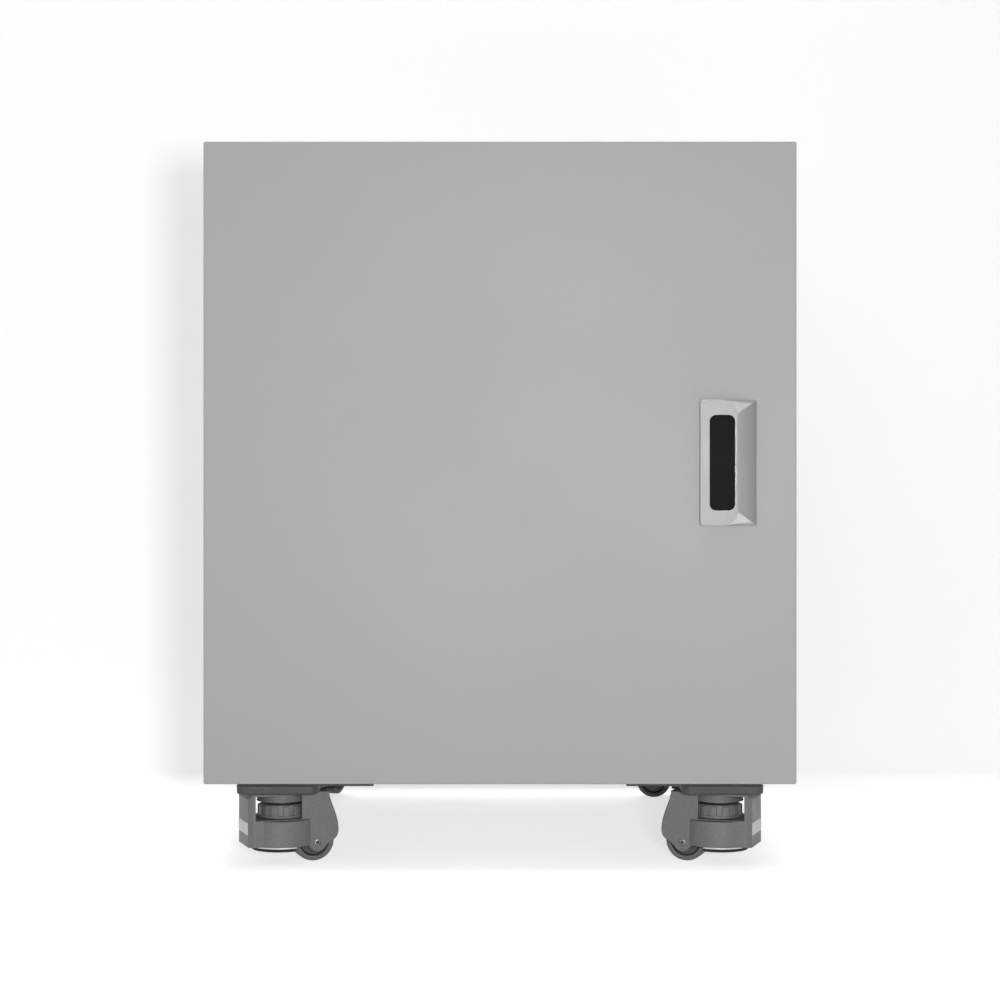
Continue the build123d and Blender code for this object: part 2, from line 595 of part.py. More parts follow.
with BuildPart() as latch_paddle:
    with BuildSketch(Plane.XZ.offset(-PADDLE_AXIS_Y)) as paddle_outline:
        with Locations((sum(PADDLE_X) / 2, MIDDLE)):
            RectangleRounded(PADDLE_X[1] - PADDLE_X[0], 2 * PADDLE_HALF, PADDLE_R)
    extrude(amount=PADDLE_THICK)
    fillet(latch_paddle.faces().sort_by(Axis.Y)[0].edges(), radius=0.8)
    with Locations((PADDLE_AXIS_X, PADDLE_AXIS_Y, MIDDLE)):
        Cylinder(2.2, 2 * (PADDLE_HALF - PADDLE_R))
        Cylinder(PIN_R, 2 * PADDLE_HALF + 6)
save(latch_paddle.part, "latch_paddle")

with BuildPart() as latch_bolt:
    box(BOLT_X, BOLT_Y, (MIDDLE - BOLT_HALF, MIDDLE + BOLT_HALF))
    nose = latch_bolt.edges().filter_by(Axis.Z).group_by(Axis.X)[-1].sort_by(Axis.Y)[-1]
    chamfer(nose, length=5.0, length2=7.0)
save(latch_bolt.part, "latch_bolt")

# ---------------------------------------------------------------------------------------------
# Caster rails, mounting plates and bolts
# ---------------------------------------------------------------------------------------------
RAIL_HEIGHT = 6.0
CASTER_TOP = UNDERSIDE - RAIL_HEIGHT
CASTER_RAIL_X = (130.0, 268.0)
CASTER_RAIL_Y = (FRAME_BACK + 3.0, GLAND_FACE - 3.0)
PLATE = 84.0
PLATE_THICK = 9.0
PLATE_LOW = CASTER_TOP - PLATE_THICK
BOLT_R = 4.0
BOSS_R = 7.5
caster_centres = [(x, y) for x, y, _ in CASTERS.values()]

with BuildPart() as caster_rails:
    box(CASTER_RAIL_X, CASTER_RAIL_Y, (CASTER_TOP, UNDERSIDE))
    rail_inside = (CASTER_RAIL_X[0] + 2, CASTER_RAIL_X[1] - 2)
    box(rail_inside, (CASTER_RAIL_Y[0] - 1, CASTER_RAIL_Y[1] + 1), (CASTER_TOP + 2, UNDERSIDE), Mode.SUBTRACT)
    with Locations(*[(x, y, CASTER_TOP) for x, y in caster_centres if x > 0]):
        with GridLocations(CASTER_BOLT, CASTER_BOLT, 2, 2):
            Cylinder(BOSS_R, RAIL_HEIGHT, align=SEATED)
            Cylinder(BOLT_R + 0.25, 3 * RAIL_HEIGHT, mode=Mode.SUBTRACT)
    mirror(about=Plane.YZ)
save(caster_rails.part, "caster_rails")

KINGPIN_R = 11.0
KINGPIN_BORE = 7.0
COLLAR_R = 14.0
COLLAR_Z = (61.4, 64.2)

with BuildPart() as caster_plate:
    with BuildSketch(Plane.XY.offset(PLATE_LOW)) as plate_outline:
        RectangleRounded(PLATE, PLATE, 9)
    extrude(amount=PLATE_THICK)
    chamfer(caster_plate.faces().sort_by(Axis.Z)[0].edges(), length=1.5)
    with Locations((0, 0, CASTER_TOP)):
        Cylinder(KINGPIN_R, CASTER_TOP - COLLAR_Z[0], align=(Align.CENTER, Align.CENTER, Align.MAX))
    with Locations((0, 0, COLLAR_Z[0])):
        Cylinder(COLLAR_R, COLLAR_Z[1] - COLLAR_Z[0], align=SEATED)
    with Locations((0, 0, COLLAR_Z[0] - 1)):
        Cylinder(KINGPIN_BORE, 40, align=SEATED, mode=Mode.SUBTRACT)
    with Locations((0, 0, PLATE_LOW)):
        with GridLocations(CASTER_BOLT, CASTER_BOLT, 2, 2):
            Cylinder(BOLT_R, 3 * PLATE_THICK, mode=Mode.SUBTRACT)
save(copies(caster_plate.part, *[(x, y, 0) for x, y in caster_centres]), "caster_plates")

with BuildPart() as caster_bolt:
    with BuildSketch(Plane.XY.offset(FLOOR_TOP)) as bolt_head:
        RegularPolygon(7.5, 6)
    extrude(amount=5.3)
    with Locations((0, 0, PLATE_LOW + 1)):
        Cylinder(BOLT_R, FLOOR_TOP - PLATE_LOW, align=SEATED)
with BuildPart() as bolt_square:
    with GridLocations(CASTER_BOLT, CASTER_BOLT, 2, 2):
        add(caster_bolt.part)
save(copies(bolt_square.part, *[(x, y, 0) for x, y in caster_centres]), "caster_bolts")

# ---------------------------------------------------------------------------------------------
# Levelling casters: each swivels, rolls, and lowers a pad when its thumbwheel is turned.
# Built with the swivel axis on Z and the wheel towards +X, then turned and moved into place.
# ---------------------------------------------------------------------------------------------
HOUSING_TOP = PLATE_LOW - 0.3
HOUSING_LOW = 19.5
BORE_STEP = 44.0  # the stem's bore is a running fit below this height
HOUSING_END = -40.0
CHEEK = 26.0  # half width across the cheeks
CHEEK_EDGE = 1.5
DRUM_R = 36.0
DRUM_TOP = 46.0
WHEEL_R = 21.5
WHEEL_HALF = 11.0
WHEEL_X = 33.0
LUG_R = 9.5
AXLE_R = 3.2
WINDOW_X = (-33.0, 16.0)
WINDOW_Z = (47.0, HOUSING_TOP - 3.0)
CONE_Z = (COLLAR_Z[1] + 0.3, HOUSING_TOP)
CHAMBER_R = 26.3
THUMB_R = 25.3
THUMB_Z = (COLLAR_Z[0] - 13.4, COLLAR_Z[0] - 0.4)
STEM_R = 6.0
FOOT_PLATE_R = 32.5
FOOT_PLATE_Z = (17.5, 19.2)
PAD_R = 31.0
PAD_FLAT = 9.0  # X of the pad's straight side, next to the wheel
PAD_LOW = 14.0

with BuildPart() as housing:
    with BuildSketch(Plane.XZ.offset(-CHEEK)) as cheek_outline:
        with BuildLine():
            lug = CenterArc((WHEEL_X, WHEEL_R), LUG_R, -32, -136)
            foot = Polyline(
                lug @ 1,
                ((lug @ 1).X - 2, HOUSING_LOW),
                (HOUSING_END, HOUSING_LOW),
                (HOUSING_END, HOUSING_TOP - 6),
                (HOUSING_END + 5, HOUSING_TOP),
                (45, HOUSING_TOP),
            )
            Spline(foot @ 1, (49, 60), (55, 40), (53.5, 27), lug @ 0, tangents=((0.1, -1), (-0.53, -0.85)))
        make_face()
    extrude(amount=2 * CHEEK)
    chamfer(housing.faces().sort_by(Axis.X)[0].edges().filter_by(Axis.Z), length=5.0)
    fillet(housing.faces().filter_by(Axis.Y).edges().filter_by(Plane.XZ), radius=CHEEK_EDGE)
    with Locations((0, 0, HOUSING_LOW)):
        Cylinder(DRUM_R, DRUM_TOP - HOUSING_LOW, align=SEATED)
    box(WINDOW_X, (-2 * CHEEK, 2 * CHEEK), WINDOW_Z, Mode.SUBTRACT)
    with Locations((0, 0, CONE_Z[0])):
        Cone(25.6, 22.6, CONE_Z[1] - CONE_Z[0], align=SEATED)
    with Locations((0, 0, WINDOW_Z[0])):
        Cylinder(CHAMBER_R, CONE_Z[0] - WINDOW_Z[0], align=SEATED, mode=Mode.SUBTRACT)
    with Locations((0, 0, BORE_STEP)):
        Cylinder(KINGPIN_R + RUNNING, HOUSING_TOP, align=SEATED, mode=Mode.SUBTRACT)
    Cylinder(STEM_R + RUNNING, 4 * HOUSING_TOP, mode=Mode.SUBTRACT)
    box((PAD_FLAT, 60), (-WHEEL_HALF - 1.5, WHEEL_HALF + 1.5), (0, 2 * WHEEL_R + 3), Mode.SUBTRACT)
    with Locations(Location((WHEEL_X, 0, WHEEL_R), (90, 0, 0))):
        Cylinder(AXLE_R, 4 * CHEEK, mode=Mode.SUBTRACT)

with BuildPart() as caster_axle:
    with Locations(Location((WHEEL_X, 0, WHEEL_R), (90, 0, 0))):
        Cylinder(AXLE_R, 2 * CHEEK - 2)
    fillet(caster_axle.edges().filter_by(GeomType.CIRCLE), radius=0.8)

with BuildPart() as caster_wheel:
    with BuildSketch(Plane.XY) as wheel_section:
        with BuildLine():
            half_profile = Polyline(
                (AXLE_R + RUNNING, 0),
                (AXLE_R + RUNNING, WHEEL_HALF + 1.1),
                (7.5, WHEEL_HALF + 1.1),
                (8.0, WHEEL_HALF - 3),
                (15.0, WHEEL_HALF - 3),
                (16.5, WHEEL_HALF),
                (WHEEL_R, WHEEL_HALF),
                (WHEEL_R, 0),
            )
            mirror(half_profile, about=Plane.XZ)
        make_face()
    revolve(axis=Axis.Y)
    fillet(caster_wheel.edges().filter_by(GeomType.CIRCLE).group_by(SortBy.RADIUS)[-1], radius=2.5)

LOBES = 12
with BuildPart() as thumbwheel:
    with Locations((0, 0, THUMB_Z[0])):
        Cylinder(THUMB_R, 2.2, align=SEATED)
        Cylinder(THUMB_R - 3.5, THUMB_Z[1] - THUMB_Z[0], align=SEATED)
    with BuildSketch(Plane.XY.offset(THUMB_Z[0] + 2.2)) as lobes:
        with PolarLocations(THUMB_R - 2.2, LOBES):
            Rectangle(4.0, 6.5)
        Circle(THUMB_R - 0.8, mode=Mode.INTERSECT)
    extrude(amount=THUMB_Z[1] - THUMB_Z[0] - 3.4)
    Cylinder(STEM_R + RUNNING, 4 * THUMB_Z[1], mode=Mode.SUBTRACT)


def pad_profile(radius):
    """A disc with a straight side towards the wheel."""
    with BuildSketch() as profile:
        Circle(radius)
        with Locations((PAD_FLAT, 0)):
            Rectangle(2 * radius, 3 * radius, align=(Align.MIN, Align.CENTER), mode=Mode.SUBTRACT)
    return profile.sketch


with BuildPart() as leveler_stem:
    with BuildSketch(Plane.XY.offset(FOOT_PLATE_Z[0])) as foot_plate:
        add(pad_profile(FOOT_PLATE_R))
    extrude(amount=FOOT_PLATE_Z[1] - FOOT_PLATE_Z[0])
    with Locations((0, 0, FOOT_PLATE_Z[0])):
        Cylinder(STEM_R, HOUSING_TOP - FOOT_PLATE_Z[0] - 2, align=SEATED)
    chamfer(leveler_stem.faces().sort_by(Axis.Z)[-1].edges(), length=1.0)

with BuildPart() as leveler_pad:
    with BuildSketch(Plane.XY.offset(PAD_LOW)) as pad_foot:
        add(pad_profile(PAD_R))
    extrude(amount=FOOT_PLATE_Z[0] - PAD_LOW)
    chamfer(leveler_pad.faces().sort_by(Axis.Z)[0].edges(), length=1.0)

CASTER_PIECES = {
    "caster_housing": housing.part,
    "caster_axle": caster_axle.part,
    "caster_thumbwheel": thumbwheel.part,
    "leveler_stem": leveler_stem.part,
    "leveler_pad": leveler_pad.part,
}
for corner, (x, y, heading) in CASTERS.items():
    place = Location((x, y, 0), (0, 0, heading))
    for name, piece in CASTER_PIECES.items():
        save(copies(piece, place), f"{name}_{corner}")
    save(copies(caster_wheel.part, place * Location((WHEEL_X, 0, WHEEL_R))), f"caster_wheel_{corner}")
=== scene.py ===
"""Battery cabinet on levelling casters: finishes, small parts, studio and camera around the frame."""

from math import cos, pi, radians, sin

import bmesh
import bpy
from mathutils import Matrix, Vector
from mathutils.geometry import tessellate_polygon


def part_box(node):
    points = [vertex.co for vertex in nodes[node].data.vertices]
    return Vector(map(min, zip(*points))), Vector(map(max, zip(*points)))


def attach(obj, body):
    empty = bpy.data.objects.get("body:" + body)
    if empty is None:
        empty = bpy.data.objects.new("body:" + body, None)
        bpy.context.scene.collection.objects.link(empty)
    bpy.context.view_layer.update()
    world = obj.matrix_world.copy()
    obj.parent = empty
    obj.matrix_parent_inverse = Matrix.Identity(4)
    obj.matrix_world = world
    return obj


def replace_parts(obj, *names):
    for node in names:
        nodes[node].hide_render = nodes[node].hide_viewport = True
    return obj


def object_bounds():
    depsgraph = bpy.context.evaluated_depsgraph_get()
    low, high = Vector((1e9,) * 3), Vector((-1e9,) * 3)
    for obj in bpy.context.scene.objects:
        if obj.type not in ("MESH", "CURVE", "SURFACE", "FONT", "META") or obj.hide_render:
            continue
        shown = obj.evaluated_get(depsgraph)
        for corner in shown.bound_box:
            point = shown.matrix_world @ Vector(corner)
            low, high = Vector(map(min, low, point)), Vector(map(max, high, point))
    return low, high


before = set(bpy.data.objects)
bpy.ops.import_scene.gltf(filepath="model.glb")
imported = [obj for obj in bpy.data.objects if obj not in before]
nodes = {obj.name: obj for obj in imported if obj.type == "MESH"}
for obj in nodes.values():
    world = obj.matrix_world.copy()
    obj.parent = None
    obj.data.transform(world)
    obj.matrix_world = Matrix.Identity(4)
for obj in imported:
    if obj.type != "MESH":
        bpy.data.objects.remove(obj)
cad_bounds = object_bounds()
MM = 0.001

# Camera: a long lens, level and square to the door, near the middle of the cabinet's height.
door_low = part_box("door_panel")[0]
CAMERA_DISTANCE = 2.040
CAMERA_HEIGHT = 0.3775
camera_data = bpy.data.cameras.new("camera")
camera_data.sensor_width = 36.0
camera_data.lens = 72.63
camera = bpy.data.objects.new("camera", camera_data)
camera.location = (0.0, door_low[1] - CAMERA_DISTANCE, CAMERA_HEIGHT)
camera.rotation_euler = (radians(90), 0.0, 0.0)
bpy.context.scene.collection.objects.link(camera)
bpy.context.scene.camera = camera
bpy.context.scene.view_settings.view_transform = "Standard"


# Studio: one white sheet that runs along the floor and up close behind the cabinet, a small lamp in front
# that throws the shadow, and soft lamps on the left, above and behind. Nothing here is part of the cabinet.
def node(tree, kind, inputs=None, **settings):
    """Adds one shader node. An input is a value, or another node's output, which is linked."""
    new = tree.nodes.new("ShaderNode" + kind)
    for key, value in settings.items():
        setattr(new, key, value)
    for key, value in (inputs or {}).items():
        if isinstance(value, bpy.types.NodeSocket):
            tree.links.new(value, new.inputs[key])
        else:
            new.inputs[key].default_value = value
    return new


def mesh_object(name, verts, faces, smooth=False):
    """A mesh object from plain lists of corners and faces."""
    mesh = bpy.data.meshes.new(name)
    mesh.from_pydata([tuple(v) for v in verts], [], faces)
    mesh.update()
    for polygon in mesh.polygons:
        polygon.use_smooth = smooth
    piece = bpy.data.objects.new(name, mesh)
    bpy.context.scene.collection.objects.link(piece)
    return piece


SHEET_COLOR = (0.80, 0.80, 0.80, 1.0)
WALL_LIFT = 0.46  # seen straight or in a reflection, the sheet is this much lighter
FLOOR_LIFT = 0.68
SHEET_HALF = 5.0
SHEET_HEIGHT = 5.0
SHEET_GAP = 0.012  # room behind the cabinet
COVE_R = 0.02
COVE_STEPS = 8


def seen_rays(tree):
    """The light path, and 1 for rays that see straight, in a reflection or through something clear."""
    path = node(tree, "LightPath")
    straight = {0: path.outputs["Is Camera Ray"], 1: path.outputs["Is Glossy Ray"]}
    seen = node(tree, "Math", straight, operation="MAXIMUM")
    through = {0: seen.outputs[0], 1: path.outputs["Is Transmission Ray"]}
    return path, node(tree, "Math", through, operation="MAXIMUM").outputs[0]


def studio_white():
    """A matt white that reaches full white where it is lit, and keeps the cabinet's shadow.

    Seen from behind or from below it is clear, and the wall lets light through to the cabinet's back.
    """
    material = bpy.data.materials.new("studio_white")
    material.use_nodes = True
    tree = material.node_tree
    tree.nodes.clear()
    path, seen = seen_rays(tree)
    surface = node(tree, "NewGeometry")
    height = node(tree, "SeparateXYZ", {"Vector": surface.outputs["Position"]}).outputs["Z"]
    climb = {"Value": height, "From Max": COVE_R, "To Min": FLOOR_LIFT, "To Max": WALL_LIFT}
    share = node(tree, "MapRange", climb)
    lift = node(tree, "Math", {0: seen, 1: share.outputs[0]}, operation="MULTIPLY")
    matt = node(tree, "BsdfDiffuse", {"Color": SHEET_COLOR})
    glow = node(tree, "Emission", {"Color": (1, 1, 1, 1), "Strength": lift.outputs[0]})
    white = node(tree, "AddShader", {0: matt.outputs[0], 1: glow.outputs[0]})
    wall = node(tree, "Math", {0: height, 1: COVE_R}, operation="GREATER_THAN")
    unseen = {0: path.outputs["Is Shadow Ray"], 1: path.outputs["Is Diffuse Ray"]}
    unseen = node(tree, "Math", unseen, operation="MAXIMUM")
    passing = node(tree, "Math", {0: unseen.outputs[0], 1: wall.outputs[0]}, operation="MULTIPLY")
    behind = {0: passing.outputs[0], 1: surface.outputs["Backfacing"]}
    clear = node(tree, "Math", behind, operation="MAXIMUM")
    nothing = node(tree, "BsdfTransparent")
    sides = {0: clear.outputs[0], 1: white.outputs[0], 2: nothing.outputs[0]}
    one_sided = node(tree, "MixShader", sides)
    node(tree, "OutputMaterial", {"Surface": one_sided.outputs[0]})
    return material


def sheet_line(back):
    """The sheet from the side, as (y, z): along the floor, round the cove and up behind the cabinet."""
    line = [(-SHEET_HALF, 0.0)]
    for i in range(COVE_STEPS + 1):
        angle = (pi / 2) * i / COVE_STEPS
        line.append((back - COVE_R + COVE_R * sin(angle), COVE_R - COVE_R * cos(angle)))
    return [*line, (back, SHEET_HEIGHT)]


line = sheet_line(cad_bounds[1][1] + SHEET_GAP)
sheet_points = [(x, y, z) for x in (-SHEET_HALF, SHEET_HALF) for y, z in line]
count = len(line)
sheet_faces = [(i, count + i, count + i + 1, i + 1) for i in range(count - 1)]
sheet = mesh_object("studio_sheet", sheet_points, sheet_faces, smooth=True)
sheet.data.materials.append(studio_white())


def soft_lamp(name, place, target, width, power):
    """A square area lamp aimed at a point."""
    data = bpy.data.lights.new(name, "AREA")
    data.shape = "SQUARE"
    data.size = width
    data.energy = power
    lamp = bpy.data.objects.new(name, data)
    lamp.location = place
    lamp.rotation_euler = (Vector(target) - Vector(place)).to_track_quat("-Z", "Y").to_euler()
    bpy.context.scene.collection.objects.link(lamp)


FRONT_LAMP = (0.174, door_low[1] - CAMERA_DISTANCE, 0.444)
soft_lamp("front_lamp", FRONT_LAMP, target=(0.0, -0.3, 0.43), width=0.17, power=19.0)
soft_lamp("left_lamp", (-2.6, -2.6, 2.6), target=(0.0, -0.2, 0.4), width=2.2, power=12.0)
soft_lamp("back_lamp", (0.4, 3.4, 3.0), target=(0.0, 0.3, 0.4), width=2.8, power=120.0)
soft_lamp("top_lamp", (-0.6, -0.9, 3.6), target=(0.0, -0.2, 0.4), width=2.2, power=34.0)

AMBIENT = 0.12  # the white world's light, where it isn't seen
world = bpy.data.worlds.new("studio")
bpy.context.scene.world = world
world.use_nodes = True
sky = world.node_tree
sky.nodes.clear()
_, sky_seen = seen_rays(sky)
sky_level = {0: sky_seen, 1: 1.0 - AMBIENT, 2: AMBIENT}
sky_level = node(sky, "Math", sky_level, operation="MULTIPLY_ADD")
sky_white = node(sky, "Background", {"Color": (1, 1, 1, 1), "Strength": sky_level.outputs[0]})
node(sky, "OutputWorld", {"Surface": sky_white.outputs[0]})


# Body and door: folded sheet steel with a fine light-grey powder coat. The coat is slightly uneven in tone,
# and its folded edges are painted a little darker: painted shade along the rounded edges.
def group(name, inputs, outputs):
    """An empty shader node group with named sockets, its input node and its output node."""
    tree = bpy.data.node_groups.new(name, "ShaderNodeTree")
    for label, kind, value in inputs:
        socket = tree.interface.new_socket(label, in_out="INPUT", socket_type="NodeSocket" + kind)
        socket.default_value = value
    for label, kind in outputs:
        tree.interface.new_socket(label, in_out="OUTPUT", socket_type="NodeSocket" + kind)
    return tree, tree.nodes.new("NodeGroupInput"), tree.nodes.new("NodeGroupOutput")


def make_grain():
    """Fine grain over a coat: specks of a second colour, broad cloudiness, and a matching height."""
    tree, start, end = group(
        "fine_grain",
        [
            ("Color", "Color", (0.5, 0.5, 0.5, 1)),
            ("Speck Color", "Color", (0.4, 0.4, 0.4, 1)),
            ("Speck", "Float", 0.3),
            ("Grain Scale", "Float", 900.0),
            ("Cloud Scale", "Float", 5.0),
            ("Cloud", "Float", 0.05),
            ("Roughness", "Float", 0.5),
            ("Roughness Spread", "Float", 0.1),
        ],
        [("Color", "Color"), ("Roughness", "Float"), ("Height", "Float")],
    )
    given = start.outputs
    place = node(tree, "TexCoord").outputs["Object"]
    speckle = {"Vector": place, "Scale": given["Grain Scale"], "Detail": 3.0, "Roughness": 0.7}
    fine = node(tree, "TexNoise", speckle)
    sharp = node(tree, "MapRange", {"Value": fine.outputs["Fac"], "From Min": 0.32, "From Max": 0.68})
    speck = node(tree, "Math", {0: sharp.outputs[0], 1: given["Speck"]}, operation="MULTIPLY")
    tones = {"Fac": speck.outputs[0], "Color1": given["Color"], "Color2": given["Speck Color"]}
    toned = node(tree, "MixRGB", tones)
    broad = node(tree, "TexNoise", {"Vector": place, "Scale": given["Cloud Scale"], "Detail": 4.0})
    swing = {"Value": broad.outputs["Fac"], "From Min": 0.3, "From Max": 0.7, "To Min": -1.0, "To Max": 1.0}
    swing = node(tree, "MapRange", swing)
    cloud = {0: swing.outputs[0], 1: given["Cloud"], 2: 1.0}
    cloud = node(tree, "Math", cloud, operation="MULTIPLY_ADD")
    cloudy = node(tree, "VectorMath", {0: toned.outputs[0], "Scale": cloud.outputs[0]}, operation="SCALE")
    rough = {0: swing.outputs[0], 1: given["Roughness Spread"], 2: given["Roughness"]}
    rough = node(tree, "Math", rough, operation="MULTIPLY_ADD")
    tree.links.new(cloudy.outputs[0], end.inputs["Color"])
    tree.links.new(rough.outputs[0], end.inputs["Roughness"])
    tree.links.new(fine.outputs["Fac"], end.inputs["Height"])
    return tree


def make_edges():
    """Edges: a normal rounded over a small radius, and a broken mask for wear, painted shade and painted
    highlight.
    """
    tree, start, end = group(
        "edge_wear_and_light",
        [("Radius", "Float", 0.001), ("Wear And Light", "Float", 0.5), ("Patch Scale", "Float", 60.0)],
        [("Mask", "Float"), ("Normal", "Vector")],
    )
    rounded = node(tree, "Bevel", {"Radius": start.outputs["Radius"]}, samples=6)
    flat = node(tree, "NewGeometry").outputs["Normal"]
    level = node(tree, "VectorMath", {0: rounded.outputs[0], 1: flat}, operation="DOT_PRODUCT")
    edge = node(tree, "MapRange", {"Value": level.outputs["Value"], "From Min": 0.995, "From Max": 0.90})
    place = node(tree, "TexCoord").outputs["Object"]
    patch = node(tree, "TexNoise", {"Vector": place, "Scale": start.outputs["Patch Scale"], "Detail": 3.0})
    broken = node(tree, "MapRange", {"Value": patch.outputs["Fac"], "From Min": 0.35, "From Max": 0.65})
    wear_and_light_mask = node(tree, "Math", {0: edge.outputs[0], 1: broken.outputs[0]}, operation="MULTIPLY")
    mask = node(tree, "Math", {0: wear_and_light_mask.outputs[0], 1: start.outputs["Wear And Light"]}, operation="MULTIPLY")
    tree.links.new(mask.outputs[0], end.inputs["Mask"])
    tree.links.new(rounded.outputs[0], end.inputs["Normal"])
    return tree


grain_group = make_grain()
edge_group = make_edges()
BUMP_DISTANCE = 0.4 * MM


def finish(name, color, speck_color, edge_color, grain, edge, bump, metallic=0.0, specular=0.5, coat=0.0):
    """A principled material with grain, cloudiness and an edge colour for wear, painted shade and painted
    highlight.

    grain and edge set the inputs of the two groups by name.
    """
    material = bpy.data.materials.new(name)
    material.use_nodes = True
    tree = material.node_tree
    shader = tree.nodes["Principled BSDF"]
    coated = node(tree, "Group", node_tree=grain_group)
    coated.inputs["Color"].default_value = (*color, 1)
    coated.inputs["Speck Color"].default_value = (*speck_color, 1)
    for label, value in grain.items():
        coated.inputs[label].default_value = value
    edges = node(tree, "Group", node_tree=edge_group)
    for label, value in edge.items():
        edges.inputs[label].default_value = value
    colors = {"Fac": edges.outputs["Mask"], "Color1": coated.outputs["Color"], "Color2": (*edge_color, 1)}
    mixed = node(tree, "MixRGB", colors)
    relief = {"Height": coated.outputs["Height"], "Normal": edges.outputs["Normal"], "Strength": bump}
    relief = node(tree, "Bump", {**relief, "Distance": BUMP_DISTANCE})
    tree.links.new(mixed.outputs[0], shader.inputs["Base Color"])
    tree.links.new(coated.outputs["Roughness"], shader.inputs["Roughness"])
    tree.links.new(relief.outputs[0], shader.inputs["Normal"])
    shader.inputs["Metallic"].default_value = metallic
    shader.inputs["Specular IOR Level"].default_value = specular
    shader.inputs["Coat Weight"].default_value = coat
    return material


def paint(material, *names):
    """Gives a finish to CAD nodes."""
    for name in names:
        for place in nodes[name].material_slots:
            place.material = material


cabinet_coat = finish(
    "cabinet_coat",
    (0.44, 0.44, 0.44),
    (0.40, 0.40, 0.40),
    (0.33, 0.33, 0.33),
    {
        "Speck": 0.7, "Grain Scale": 1100.0, "Cloud Scale": 4.0, "Cloud": 0.012,
        "Roughness": 0.52, "Roughness Spread": 0.05,
    },
    # The darker edge colour below is painted shade on the folded edges, not a thinner coat.
    {"Radius": 0.0009, "Wear And Light": 0.35, "Patch Scale": 30.0},
    bump=0.25,
)
paint(
    cabinet_coat,
    "door_panel",
    "base_pan",
    "top_cover",
    "side_panel_left",
    "side_panel_right",
    "front_frame",
    "rear_panel",
    "gland_plate",
    "door_stiffeners",
)


# Zinc-plated steel: rack rails, module runners, hinges, latch bolt and caster bolts. Folded or turned steel,
# plated bright, with a faint unevenness.
zinc = finish(
    "zinc_plate",
    (0.56, 0.57, 0.57),
    (0.46, 0.47, 0.46),
    (0.66, 0.66, 0.66),
    {
        "Speck": 0.5, "Grain Scale": 260.0, "Cloud Scale": 18.0, "Cloud": 0.06,
        "Roughness": 0.36, "Roughness Spread": 0.10,
    },
    {"Radius": 0.0006, "Wear And Light": 0.5, "Patch Scale": 40.0},
    bump=0.08,
    metallic=1.0,
)
paint(zinc, "rack_rails_front", "rack_rails_rear", "module_runners", "caster_bolts")
paint(zinc, "hinge_brackets", "hinge_leaves", "latch_bolt")


# Door gasket: a soft strip that seals the door against the frame's flange. Closed-cell polyurethane foam,
# poured onto the inside of the door as one ring.
foam = finish(
    "gasket_foam",
    (0.030, 0.030, 0.031),
    (0.055, 0.055, 0.056),
    (0.04, 0.04, 0.04),
    {
        "Speck": 0.8, "Grain Scale": 700.0, "Cloud Scale": 12.0, "Cloud": 0.10,
        "Roughness": 0.85, "Roughness Spread": 0.08,
    },
    {"Radius": 0.0012, "Wear And Light": 0.0, "Patch Scale": 40.0},
    bump=0.9,
    specular=0.25,
)
paint(foam, "door_gasket")


# Latch bezel: a zinc die casting with a silver-grey lacquer. A flat plateau holds the paddle, its right-hand
# corners are large arcs, and the right, top and bottom faces curve down to a thin foot on the door. The top
# and bottom faces, the chamfer and the opening's rim take a lighter, glossier copy of the lacquer: painted
# highlight.
latch_low, latch_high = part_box("latch_housing")
paddle_low, paddle_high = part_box("latch_paddle")
FACE_Y = latch_low[1]
DOOR_Y = door_low[1]
MIDDLE_Z = (latch_low[2] + latch_high[2]) / 2
HALF_Z = (latch_high[2] - latch_low[2]) / 2
PROUD = DOOR_Y - FACE_Y
FOOT = 1.6 * MM  # height of the bezel's side wall at its outer right edge
BEZEL_RIGHT = latch_high[0]
RIDGE_X = BEZEL_RIGHT - 20.3 * MM
CORNER_R = 14.0 * MM
CORNER_START = RIDGE_X - CORNER_R
LEFT_R = 3.0 * MM
EDGE = 1.0 * MM  # chamfer round the plateau's outer edge
RIM = 0.8 * MM  # rounded rim round the paddle's opening
OPENING_GAP = 0.3 * MM
OPENING_R = 6.5 * MM
OPENING_HALF_Z = 48.0 * MM
POCKET_Y = FACE_Y + 20.0 * MM
SLOPE_STEPS = 14
ARC_STEPS = 12
RIM_STEPS = 3
PLATEAU, OPENING, POCKET, RIGHT_FACE, BOTTOM_FACE, TOP_FACE, CHAMFER, SIDE_WALL = range(8)
PLAIN_LACQUER_REGIONS = (PLATEAU, POCKET, RIGHT_FACE, SIDE_WALL)


def slope(share, top, foot):
    """Height of the convex faces above the door, from the ridge (share 0) to the outer edge (share 1)."""
    return top - (top - foot) * (0.3 * share + 0.7 * share**3)


def bezel_point(x, z, height):
    """A point at a height above the door, with z from the bezel's middle."""
    return (x, DOOR_Y - height, MIDDLE_Z + z)


def bezel_points(loop, height):
    """The points of a loop, all at one height above the door."""
    return [bezel_point(x, z, height) for x, z in loop]


def grid_patch(mesh, rows, slot=0):
    """Joins rows of points with four-sided faces."""
    rows = [[mesh.verts.new(p) for p in row] for row in rows]
    for upper, lower in zip(rows, rows[1:]):
        for i in range(len(upper) - 1):
            mesh.faces.new((upper[i], upper[i + 1], lower[i + 1], lower[i])).material_index = slot


def ring_patch(mesh, upper, lower, slot=0):
    """Joins two closed loops of the same length."""
    upper = [mesh.verts.new(p) for p in upper]
    lower = [mesh.verts.new(p) for p in lower]
    for i in range(len(upper)):
        j = (i + 1) % len(upper)
        mesh.faces.new((upper[i], upper[j], lower[j], lower[i])).material_index = slot


def quarter(centre, start, across, up):
    """A quarter of an ellipse as (x, z) points, counter-clockwise from a start angle."""
    angles = [start + (pi / 2) * i / ARC_STEPS for i in range(ARC_STEPS + 1)]
    return [(centre[0] + across * cos(a), centre[1] + up * sin(a)) for a in angles]


